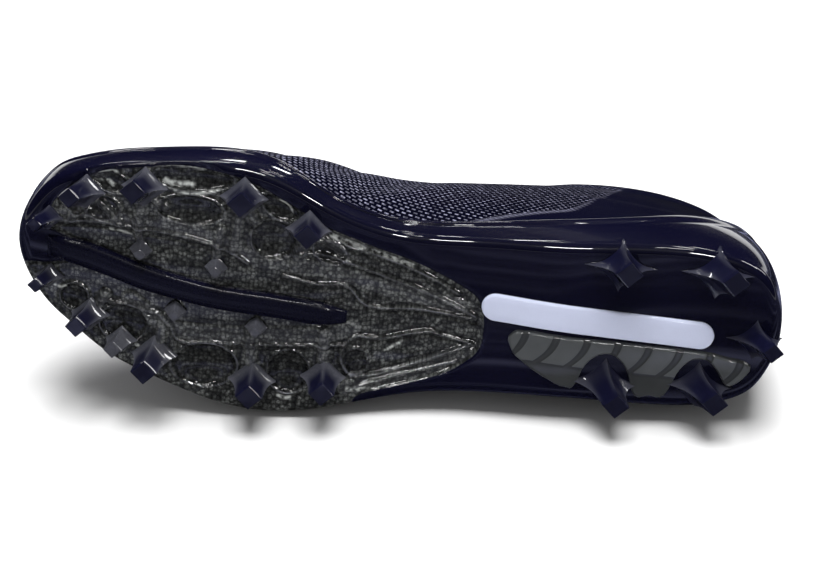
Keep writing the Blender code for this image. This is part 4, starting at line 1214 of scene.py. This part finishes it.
class CLEAT_OT_shell(bpy.types.Operator):
    """Moulded sole shell: plate with its tread, rounded edge, rim, lip and heel cup"""

    bl_idname = "cleat.shell"
    bl_label = "Sole shell"

    def execute(self, context):
        last, pose = context_last()
        z = last.sizes
        levels = last.rim_levels()
        out = z.shell_wall + z.clearance
        spine = last.spine()
        foot = last.face(0.0, out)
        flat = foot.copy()
        flat[:, :2] = inset_loop(foot[:, :2], z.edge_round)
        flat[:, 2] = last.plate_bottom(flat[:, 0])
        corner = foot.copy()
        corner[:, 2] = last.plate_bottom(corner[:, 0])
        loops = []
        layers = {"window": [], "line": [], "haze": [], "shade": [], "painted_bowl_shade": [], "painted_glare": []}
        navy = np.full(last.count, -NO_LINE)

        def note(found):
            for key, values in layers.items():
                values.append(found[key])

        def note_plain(window):
            plain = {key: np.zeros(last.count) for key in layers}
            note({**plain, "line": np.full(last.count, NO_LINE), "window": window})

        for share in np.linspace(0.0, 1.0, PLATE_ROWS):
            row = np.column_stack([spine + (flat[:, :2] - spine) * share, np.zeros(last.count)])
            relief, found = tread(last, row[:, 0], row[:, 1])
            row[:, 2] = last.plate_bottom(row[:, 0]) - relief
            loops.append(row)
            note(found)
        relief = tread(last, flat[:, 0], flat[:, 1])[0]
        for t in np.linspace(0.0, 1.0, EDGE_ROWS)[1:]:
            row = (1 - t) ** 2 * flat + 2 * t * (1 - t) * corner + t * t * foot
            row[:, 2] -= relief * (1.0 - blend(t, 0.0, 0.8))
            loops.append(row)
            note(tread(last, row[:, 0], row[:, 1])[1])
        rim_window = layers["window"][-1]
        for share in np.linspace(0.0, 1.0, RIM_ROWS)[1:]:
            bead = BEAD * blend(share, 0.82, 0.90) - GROOVE * math.exp(-((share - 0.78) / 0.03) ** 2)
            loops.append(last.face(levels * share, out + bead * MM))
            note_plain(rim_window - NO_LINE * share)
        radius = 0.5 * (z.shell_wall + BEAD * MM)
        for angle in np.linspace(0.0, math.pi, LIP_ROWS)[1:]:
            offset = z.clearance + radius + radius * math.cos(angle)
            loops.append(last.face(levels, offset, radius * math.sin(angle)))
            note_plain(navy)
        for share in (0.5, 0.0):
            loops.append(last.face(levels * share, z.clearance))
            note_plain(navy)
        bed = last.face(0.0, z.clearance)
        for share in (0.97, 0.5, 0.0):
            where = spine + (bed[:, :2] - spine) * share
            loops.append(np.column_stack([where, last.plate_bottom(where[:, 0]) + z.plate]))
            note_plain(navy)
        stack = np.array(loops)
        obj = sheet_mesh("sole_shell", rest_on_floor(lay(stack, pose)), layers=layers,
                         flat=flat_map(stack, z.stud_height + z.plate))
        close_and_face(obj)
        keep(obj, shell_material(context.scene.cleat_colours), "shell_navy", "outsole")
        return {"FINISHED"}


def stud_radius(angle, down, fin, cone):
    """Reach of a stud as a share of its size: a solid diamond whose corners run out into fins."""
    up = 1.0 - max(down, 0.0)
    lengthways = abs(math.cos(angle)) ** 4
    corner = 0.56 + 0.12 * up + (0.20 + fin * (0.35 + 0.65 * lengthways)) * up ** 4
    hollow = 0.405 + 0.05 * up + 0.20 * up ** 5
    power = 1.0 / (0.5 - math.log2(hollow / corner))
    star = corner * (abs(math.cos(angle)) ** power + abs(math.sin(angle)) ** power) ** (-1.0 / power)
    return star * (1.0 - cone) + (0.42 + 0.55 * up ** 1.5) * cone


class CLEAT_OT_studs(bpy.types.Operator):
    """Twenty moulded studs: diamond tips on four fins"""

    bl_idname = "cleat.studs"
    bl_label = "Studs"

    def execute(self, context):
        last, pose = context_last()
        z = last.sizes
        mat = stud_material(context.scene.cleat_colours)
        for stud in named_rows(STUDS, STUD_COLUMNS):
            x, y, away = stud_place(last, stud)
            reach = stud["size"] * z.stud_size
            tall = stud["tall"] * z.stud_height
            loops = []
            turn = np.arange(STUD_SIDES) * 2.0 * math.pi / STUD_SIDES
            fin = HEEL_FIN if stud["along"] > WAIST_ALONG else FOREFOOT_FIN
            cone = CENTRE_CONE if stud["clear"] >= CONE_CLEAR else 0.0
            for down in STUD_DOWNS:
                radius = np.array([stud_radius(angle, down, fin, cone) for angle in turn]) * reach
                if down == 1.0:
                    radius = radius - 0.35 * MM
                px = x + away[0] * down + radius * np.cos(turn)
                py = y + away[1] * down + radius * np.sin(turn)
                low = last.shell_low(px, py) - z.clearance
                straight = blend(down, 0.0, 0.5)
                low = low * (1.0 - straight) + (float(last.plate_bottom(x)) - z.clearance) * straight
                loops.append(np.column_stack([px, py, low - down * tall]))
            tip = loops[-1].mean(axis=0)
            inner_face = tip + 0.55 * (loops[-1] - tip)
            inner_face[:, 2] += 0.02 * MM
            loops.append(inner_face)
            obj = extruded(stud["name"] + "_moulded", lay(loops, pose))
            points = np.empty(len(obj.data.vertices) * 3)
            obj.data.vertices.foreach_get("co", points)
            local = lay(points.reshape(-1, 3), pose.inverted())
            down = (last.plate_bottom(local[:, 0]) - local[:, 2]) / tall
            around = np.arctan2(local[:, 1] - y - away[1] * down, local[:, 0] - x - away[0] * down)
            root = stud["clear"] * (1.0 - blend(down, 0.10, 0.50))
            if stud["clear"] >= WHOLLY_CLEAR:
                root = np.full(len(local), 1.0) - 0.10 * blend(down, 0.5, 1.0)
            # Painted highlight along the fin edges, fading towards the tip, stronger on clearer studs
            ridge = np.abs(np.cos(2.0 * around)) ** 24 * (1.0 - blend(down, 0.55, 1.05))
            ridge *= 0.30 + 0.34 * min(stud["clear"], 1.0)
            add_layer(obj.data, "root", np.clip(root, 0.0, 1.0))
            add_layer(obj.data, "ridge", np.clip(ridge, 0.0, 1.0))
            select(obj)
            bpy.ops.object.shade_smooth_by_angle(angle=math.radians(38))
            keep(obj, mat, "stud_navy", stud["name"])
        return {"FINISHED"}


def strip_loops(last, table, thickness, rows, base, half_round=False):
    """Cross sections of a strip on the plate, each as a closed loop; half_round gives it round ends."""
    z = last.sizes
    along = column(table, STRIP_COLUMNS, "along")
    share = np.linspace(0.0, 1.0, rows)
    if half_round:
        share = 0.5 * (share + 0.5 - 0.5 * np.cos(math.pi * share))
    fine = along[0] + (along[-1] - along[0]) * share
    middle = smooth_table(along, column(table, STRIP_COLUMNS, "across"), fine) * z.ball_width
    half = smooth_table(along, column(table, STRIP_COLUMNS, "half"), fine) * z.ball_width
    end = np.minimum(fine - along[0], along[-1] - fine) * z.shoe_length
    if half_round:
        full = column(table, STRIP_COLUMNS, "half").max() * z.ball_width
        half = full * np.sqrt(1.0 - (1.0 - np.clip(end / full, 0.01, 1.0)) ** 2)
    loops = []
    for k, place in enumerate(fine):
        x = (place - 0.5) * z.shoe_length
        top = float(last.plate_bottom(x)) - base
        near_end = end[k] / MM if half_round else min(k, rows - 1 - k) / 3.0
        depth = thickness * min(1.0, 0.35 + 0.65 * near_end)
        loops.append([(x, middle[k] + side * half[k], top - drop * depth) for side, drop in STRIP_SECTION])
    return loops


class CLEAT_OT_strips(bpy.types.Operator):
    """Centre rib of the forefoot and plain pale bar of the heel"""

    bl_idname = "cleat.strips"
    bl_label = "Rib and bar"

    def execute(self, context):
        last, pose = context_last()
        z = last.sizes
        colours = context.scene.cleat_colours
        base = z.clearance - RIB_LIFT * MM
        loops = strip_loops(last, CENTRE_RIB, z.rib_height, RIB_SECTIONS, base)
        rib = extruded("centre_rib_moulded", lay(loops, pose))
        mat = plastic_material("rib", tuple(colours.shell), 0.30, 0.35, 1200.0, 0.00003)
        keep(rib, mat, "shell_navy", "centre_rib")
        loops = strip_loops(last, HEEL_BAR, z.bar_thickness, BAR_SECTIONS, z.clearance, True)
        bar = extruded("heel_bar_plain", lay(loops, pose))
        mat = plastic_material("bar", tuple(colours.bar), 0.30, 0.35, 1500.0, 0.00004)
        keep(bar, mat, "pale_bar", "heel_bar")
        return {"FINISHED"}


class CLEAT_OT_panel(bpy.types.Operator):
    """Grey heel panel with its curved slanting ribs"""

    bl_idname = "cleat.panel"
    bl_label = "Heel panel"

    def execute(self, context):
        last, pose = context_last()
        z = last.sizes
        along = column(HEEL_PANEL, PANEL_COLUMNS, "along")
        fine = np.linspace(along[0], along[-1], PANEL_SECTIONS)
        near = smooth_table(along, column(HEEL_PANEL, PANEL_COLUMNS, "near"), fine)
        far = smooth_table(along, column(HEEL_PANEL, PANEL_COLUMNS, "far"), fine)
        shares = np.linspace(0.0, 1.0, PANEL_POINTS)
        loops, cells = [], []
        for k, place in enumerate(fine):
            x = (place - 0.5) * z.shoe_length / MM
            y = near[k] + (far[k] - near[k]) * shares
            down = (y - near[k]) / RIBBED_DEPTH
            phase = ((x + RIB_SWEEP * down ** 2 - RIB_START) / RIB_PITCH) % 1.0
            stripe = np.abs(phase - 0.5) * RIB_PITCH - RIB_WIDTH / 2.0
            cell = np.minimum(np.minimum(stripe, RIBBED_DEPTH - (y - near[k])), y - near[k] - 0.5)
            ends = min(1.0, min(k, len(fine) - 1 - k) / 5.0)
            side = np.clip(np.minimum(shares, 1.0 - shares) * (far[k] - near[k]) / 1.2, 0.0, 1.0)
            lift = (0.80 + 0.20 * blend(cell, -0.5, 0.5)) * np.sqrt(side) * ends * z.bar_thickness
            low = last.shell_low(np.full(len(y), x * MM), y * MM)
            top = np.column_stack([np.full(len(y), x * MM), y * MM, low - z.clearance * side - lift])
            base = np.column_stack([np.full(len(y), x * MM), y * MM, low + 0.3 * MM])
            loops.append(np.concatenate([top, base[::-4]]))
            cells.append(np.concatenate([cell, np.full(len(base[::-4]), -3.0)]))
        stack = np.array(loops)
        obj = sheet_mesh("heel_panel_ribbed", lay(stack, pose), layers={"cell": cells},
                         flat=flat_map(stack, 1.0))
        bm = bmesh.new()
        bm.from_mesh(obj.data)
        bmesh.ops.holes_fill(bm, edges=[e for e in bm.edges if e.is_boundary], sides=0)
        bm.to_mesh(obj.data)
        bm.free()
        close_and_face(obj)
        keep(obj, panel_material(context.scene.cleat_colours), "panel_grey", "heel_panel")
        return {"FINISHED"}


def crease_offsets(last, level):
    """How far the upper's creases move it, for each column at one level."""
    z = last.sizes
    place = last.along(last.rails[:, 0, 0])
    side = np.where(np.arange(last.count) <= last.heel, 1, -1)
    out = np.zeros(last.count)
    for crease in named_rows(CREASES, CREASE_COLUMNS):
        points = [(crease["along_from"] * z.shoe_length / MM, crease["level_from"] * CREASE_SPAN),
                  (crease["along_to"] * z.shoe_length / MM, crease["level_to"] * CREASE_SPAN)]
        away = line_distance(place * z.shoe_length / MM, np.full(last.count, level * CREASE_SPAN), points)
        fold = crease["depth"] * np.exp(-(away / crease["width"]) ** 2)
        out += np.where(side == crease["side"], fold, 0.0)
    return out * MM


class CLEAT_OT_upper(bpy.types.Operator):
    """Upper: dotted mesh, knitted quarter, smooth heel, rounded collar and soft creases"""

    bl_idname = "cleat.upper"
    bl_label = "Upper"

    def execute(self, context):
        last, pose = context_last()
        z = last.sizes
        shares = np.linspace(0.0, 1.0, UPPER_ROWS)
        faces = [last.face(v) for v in shares]
        climbed = np.zeros((UPPER_ROWS, last.count))
        for k in range(1, UPPER_ROWS):
            climbed[k] = climbed[k - 1] + np.linalg.norm(faces[k] - faces[k - 1], axis=1)
        waist = faces[UPPER_ROWS // 3]
        step = np.linalg.norm(np.roll(waist, -1, axis=0) - waist, axis=1)
        run = np.concatenate([[0.0], np.cumsum(step)[:-1]])
        place = last.along(last.rails[:, 0, 0])
        levels = last.rim_levels()
        loops, flat, mesh, knit, seam = [], [], [], [], []
        for k, share in enumerate(shares):
            under = 1.0 - blend(share / np.maximum(levels, 0.05), 0.75, 1.25)
            puff = COLLAR_PUFF * MM * blend(share, 0.90, 0.97) * blend(place, 0.66, 0.74)
            point = last.face(share, (crease_offsets(last, share) + puff) * (1.0 - under))
            loops.append(point)
            flat.append(np.stack([run, climbed[k]], axis=-1))
            here = last.along(point[:, 0])
            height = point[:, 2] / MM
            straight = np.clip((here - MESH_START) / MESH_RUN, 0.0, 1.0)
            edge = MESH_LOW + MESH_RISE * straight + 60.0 * blend(here, 0.71, 0.84)
            above = height - edge
            back = 1.0 - blend(here + 0.0016 * (58.0 - height), 0.745, 0.775)
            border = blend(share, 0.955, 0.965)
            mesh.append(blend(above, 0.0, 1.0) * back * (1.0 - border))
            quarter = (1.0 - blend(above, -1.0, 0.0)) * (1.0 - blend(here, 0.72, 0.92))
            cuff = blend(share, 0.88, 0.94) * blend(here, 0.62, 0.74)
            knit.append(np.clip(quarter + cuff, 0.0, 1.0))
            seam.append(np.exp(-((above + 0.3) / 0.5) ** 2) * blend(here, 0.49, 0.53) * back)
        layers = {"mesh": mesh, "knit": knit, "seam": seam}
        lip = z.upper_wall / 2.0
        for angle in np.linspace(0.0, math.pi, ROLL_ROWS)[1:]:
            loops.append(last.face(1.0, -lip + lip * math.cos(angle), lip * math.sin(angle)))
        for share in np.linspace(1.0, 0.0, LINING_ROWS)[1:]:
            loops.append(last.face(share, -z.upper_wall))
        loops.append(loops[0])
        extra = len(loops) - UPPER_ROWS
        for key in layers:
            fill = np.full(last.count, 1.0 if key == "knit" else 0.0)
            layers[key] = np.array(layers[key] + [fill] * extra)
        flat += [np.stack([run, climbed[-1] + 2.0 * MM * (k + 1)], axis=-1) for k in range(extra)]
        points = rest_on_floor(lay(np.array(loops), pose))
        obj = sheet_mesh("upper_dressed", points, layers=layers, flat=np.array(flat))
        close_and_face(obj)
        keep(obj, upper_material(context.scene.cleat_colours), "upper_mesh", "upper")
        return {"FINISHED"}


def tongue_point_rows(last, depth):
    """Rows across the tongue through the throat, a depth below the upper's outer face."""
    z = last.sizes
    start, end = TONGUE_START * last.steps, TONGUE_END * last.steps
    levels = np.linspace(1.0 - TONGUE_LEVEL, 1.0, 8)
    faces = [last.face(v, -depth) for v in levels]
    rows = []
    for k in range(start, end + 1, 4):
        outer = [face[k] for face in faces]
        inner = [face[(last.count - k) % last.count] for face in faces]
        arch = []
        for t in np.linspace(0.0, 1.0, 11)[1:-1]:
            point = outer[-1] * (1 - t) + inner[-1] * t
            point[2] += 4.0 * t * (1 - t) * z.tongue_crown
            arch.append(point)
        rows.append(np.array(outer + arch + inner[::-1]))
    return rows


class CLEAT_OT_tongue(bpy.types.Operator):
    """Knitted tongue under the throat, with a rounded padded end"""

    bl_idname = "cleat.tongue"
    bl_label = "Tongue"

    def execute(self, context):
        last, pose = context_last()
        z = last.sizes
        rows = tongue_point_rows(last, z.upper_wall + z.tongue_gap + z.tongue / 2.0)
        end = rows[-1]
        lead = end.mean(axis=0) - rows[-8].mean(axis=0)
        lead /= np.linalg.norm(lead)
        middle = end.mean(axis=0)
        for t in np.linspace(0.0, 1.0, 15)[1:]:
            width = math.sqrt(max(1.0 - t ** 3.0, 0.0)) * 0.92 + 0.08
            row = end + lead * z.tongue_reach * t + np.array([0.0, 0.0, z.tongue_rise * t * t])
            row[:, 1] = middle[1] + (end[:, 1] - middle[1]) * width
            rows.append(row)
        obj = sheet_mesh("tongue_knitted", lay(np.array(rows), pose), around=False)
        thick = obj.modifiers.new("thick", "SOLIDIFY")
        thick.thickness = z.tongue * 0.9
        thick.offset = 0.0
        thick.use_even_offset = True
        fine = obj.modifiers.new("fine", "SUBSURF")
        fine.levels = fine.render_levels = 1
        apply_modifiers(obj)
        close_and_face(obj)
        mat = knit_material("tongue", scaled(context.scene.cleat_colours.cloth, 1.1), 1.1 * MM)
        keep(obj, mat, "lining_navy", "tongue")
        return {"FINISHED"}


def ribbon_loops(path, lead, width, thickness):
    """Rounded cross sections along a flat lace."""
    path = np.array(path, float)
    across = np.asarray(lead, float)
    across /= np.linalg.norm(across)
    loops = []
    for i, point in enumerate(path):
        tangent = path[min(i + 1, len(path) - 1)] - path[max(i - 1, 0)]
        tangent /= np.linalg.norm(tangent)
        side = across - tangent * np.dot(across, tangent)
        side /= np.linalg.norm(side)
        up = np.cross(tangent, side)
        loop = []
        for k in range(LACE_SIDES):
            a = 2.0 * math.pi * k / LACE_SIDES
            u = math.copysign(abs(math.cos(a)) ** 0.45, math.cos(a))
            v = math.copysign(abs(math.sin(a)) ** 0.75, math.sin(a))
            loop.append(point + side * u * width / 2.0 + up * v * thickness / 2.0)
        loops.append(loop)
    return np.array(loops)


def tongue_row(last, along, depth):
    """Outer edge, quarter, middle, quarter and inner edge of the tongue at one place."""
    outer = last.face_at(along, 1, 1.0, -depth)
    inner = last.face_at(along, -1, 1.0, -depth)
    row = []
    for t in (0.0, 0.25, 0.5, 0.75, 1.0):
        point = outer * (1 - t) + inner * t
        point[2] += 4.0 * t * (1 - t) * last.sizes.tongue_crown
        row.append(point)
    return row


class CLEAT_OT_laces(bpy.types.Operator):
    """Flat woven laces that come out of the eyelets, cross the tongue and run under the throat"""

    bl_idname = "cleat.laces"
    bl_label = "Laces and eyelets"

    def execute(self, context):
        last, pose = context_last()
        z = last.sizes
        colours = context.scene.cleat_colours
        lace = knit_material("lace", scaled(colours.cloth, 1.5), 0.8 * MM)
        depth = z.upper_wall + z.tongue_gap
        for i, (low, high) in enumerate(zip(EYELETS, EYELETS[1:])):
            lead = tongue_row(last, high, 0.0)[2] - tongue_row(last, low, 0.0)[2]
            pieces = []
            for side in (1, -1):
                over = 1.45 * MM if side > 0 else 0.15 * MM
                base = z.clearance + z.lace_thickness / 2.0
                span = high - low
                points = [
                    last.face_at(low - 0.02 * span, side, EYELET_LEVEL - 0.012, -0.8 * MM),
                    last.face_at(low, side, EYELET_LEVEL, base + 0.2 * MM),
                    last.face_at(low + 0.08 * span, side, 0.985, base + 0.5 * MM),
                ]
                for share, pick, climb in ((0.24, 1, 0.6), (0.40, 2, 1.0), (0.55, 3, 0.5)):
                    point = tongue_row(last, low + share * span, depth)[::side][pick]
                    point[2] += base + 0.5 * MM + over * climb
                    points.append(point)
                far = tongue_row(last, low + 0.66 * span, depth)[::side][4]
                far[2] += base - 0.5 * MM
                points.append(far)
                t = np.arange(len(points))
                fine = np.linspace(0, len(points) - 1, LACE_SECTIONS)
                points = np.array(points)
                path = np.stack([smooth_table(t, points[:, c], fine) for c in range(3)], axis=-1)
                loops = ribbon_loops(path, lead, z.lace_width, z.lace_thickness)
                pieces.append(extruded("lace_strip", lay(loops, pose)))
            obj = joined("lace_crossing_%d_woven" % (i + 1), pieces)
            keep(obj, lace, "lace_navy", "lace_crossing_%d" % (i + 1))
        rings = []
        for along in EYELETS:
            for side in (1, -1):
                here = last.face_at(along, side, EYELET_LEVEL, 0.15 * MM)
                out = last.face_at(along, side, EYELET_LEVEL, 1.0)
                out -= last.face_at(along, side, EYELET_LEVEL, 0.0)
                turn = Vector((0.0, 0.0, 1.0)).rotation_difference(Vector(out)).to_matrix().to_4x4()
                deselect()
                bpy.ops.mesh.primitive_torus_add(
                    major_radius=EYELET_RADIUS * MM, minor_radius=EYELET_WIRE * MM,
                    major_segments=32, minor_segments=10)
                ring = context.object
                ring.data.transform(pose @ Matrix.Translation(Vector(here)) @ turn)
                ring.matrix_world = Matrix.Identity(4)
                rings.append(ring)
        mat = plastic_material("eyelets", scaled(colours.cloth, 0.9), 0.35, 0.3, 1500.0, 0.00003)
        keep(joined("eyelet_rings", rings), mat, "upper_mesh")
        return {"FINISHED"}


class CLEAT_OT_lining(bpy.types.Operator):
    """Knitted top cloth of the insole"""

    bl_idname = "cleat.lining"
    bl_label = "Insole cloth"

    def execute(self, context):
        cloth = knit_material("insole", scaled(context.scene.cleat_colours.cloth, 1.2), 1.3 * MM)
        for slot in frame["nodes"]["insole"].material_slots:
            slot.material = cloth
        return {"FINISHED"}


def stage_plane(name, size, place, material):
    """A square plane of the stage, with its place in its mesh."""
    deselect()
    bpy.ops.mesh.primitive_plane_add(size=size)
    obj = bpy.context.object
    obj.name = name
    obj.data.transform(Matrix.Translation(place))
    obj.data.materials.append(material)
    return obj


def area_light(name, place, aim, size, size_y, power):
    """A soft white rectangular light, turned to its aim."""
    data = bpy.data.lights.new(name, "AREA")
    data.shape = "RECTANGLE"
    data.size = size
    data.size_y = size_y
    data.energy = power
    obj = bpy.data.objects.new(name, data)
    obj.location = place
    obj.rotation_euler = (Vector(aim) - Vector(place)).to_track_quat("-Z", "Y").to_euler()
    bpy.context.scene.collection.objects.link(obj)
    return obj


class CLEAT_OT_stage(bpy.types.Operator):
    """Pale floor, soft lights and the camera at the photograph's angle"""

    bl_idname = "cleat.stage"
    bl_label = "Stage"

    def execute(self, context):
        pose = context_last()[1]
        mat = floor_material(tuple(context.scene.cleat_colours.floor))
        floor = stage_plane("studio_floor", FLOOR_SIZE, (0.0, 0.0, -0.0002), mat)
        place = (0.0, CARD_BACK - CARD_SIZE / 2.0, 0.00001)
        card = stage_plane("dark_card", CARD_SIZE, place, card_material())
        card.visible_camera = False
        card.visible_diffuse = False
        card.visible_shadow = False

        ceiling = area_light(*CEILING)
        ceiling.visible_glossy = False
        for strip in STRIPS:
            area_light(*strip).visible_diffuse = False
        world = bpy.data.worlds.new("studio")
        world.use_nodes = True
        background = world.node_tree.nodes["Background"]
        background.inputs["Color"].default_value = (1.0, 1.0, 1.0, 1.0)
        background.inputs["Strength"].default_value = WORLD_STRENGTH
        world.cycles_visibility.glossy = False
        context.scene.world = world
        context.scene.view_settings.view_transform = "Standard"

        lift, tilt = math.radians(CAMERA_LIFT), math.radians(CAMERA_TILT)
        right = Vector((math.cos(tilt), -math.sin(tilt), 0.0))
        inner = Vector((-math.sin(tilt), -math.cos(tilt), 0.0))
        into = Vector((0.0, 0.0, 1.0))
        forward = into * math.cos(lift) - inner * math.sin(lift)
        up = into * math.sin(lift) + inner * math.cos(lift)
        turn = Matrix((right, up, -forward)).transposed().to_4x4()
        aim = Vector(CAMERA_AIM) + up * CAMERA_UP
        local = Matrix.Translation(aim - forward * CAMERA_DISTANCE) @ turn
        data = bpy.data.cameras.new("camera")
        data.sensor_width = SENSOR
        data.lens = SENSOR * PIXELS_PER_METRE * CAMERA_DISTANCE / IMAGE_WIDTH
        camera = bpy.data.objects.new("camera", data)
        camera.matrix_world = pose @ local
        context.scene.collection.objects.link(camera)
        context.scene.camera = camera
        return {"FINISHED"}


class CLEAT_PT_panel(bpy.types.Panel):
    """Lists the pieces of the cleat"""

    bl_idname = "CLEAT_PT_panel"
    bl_label = "Football cleat"
    bl_space_type = "VIEW_3D"
    bl_region_type = "UI"
    bl_category = "Cleat"

    def draw(self, context):
        for piece in PIECES:
            self.layout.operator(piece.bl_idname, text=piece.bl_label)


PIECES = (
    CLEAT_OT_stage,
    CLEAT_OT_shell,
    CLEAT_OT_studs,
    CLEAT_OT_strips,
    CLEAT_OT_panel,
    CLEAT_OT_upper,
    CLEAT_OT_tongue,
    CLEAT_OT_laces,
    CLEAT_OT_lining,
)
CLASSES = (CleatSizes, CleatColours) + PIECES + (CLEAT_PT_panel,)


def register():
    """Register the classes and the settings."""
    for cls in CLASSES:
        bpy.utils.register_class(cls)
    bpy.types.Scene.cleat_sizes = PointerProperty(type=CleatSizes)
    bpy.types.Scene.cleat_colours = PointerProperty(type=CleatColours)


def unregister():
    """Take the classes and the settings away again."""
    del bpy.types.Scene.cleat_colours
    del bpy.types.Scene.cleat_sizes
    for cls in reversed(CLASSES):
        bpy.utils.unregister_class(cls)


def main():
    """Build every piece in order."""
    register()
    bpy.ops.cleat.stage()
    bpy.ops.cleat.shell()
    bpy.ops.cleat.studs()
    bpy.ops.cleat.strips()
    bpy.ops.cleat.panel()
    bpy.ops.cleat.upper()
    bpy.ops.cleat.tongue()
    bpy.ops.cleat.laces()
    bpy.ops.cleat.lining()


if __name__ == "__main__":
    main()
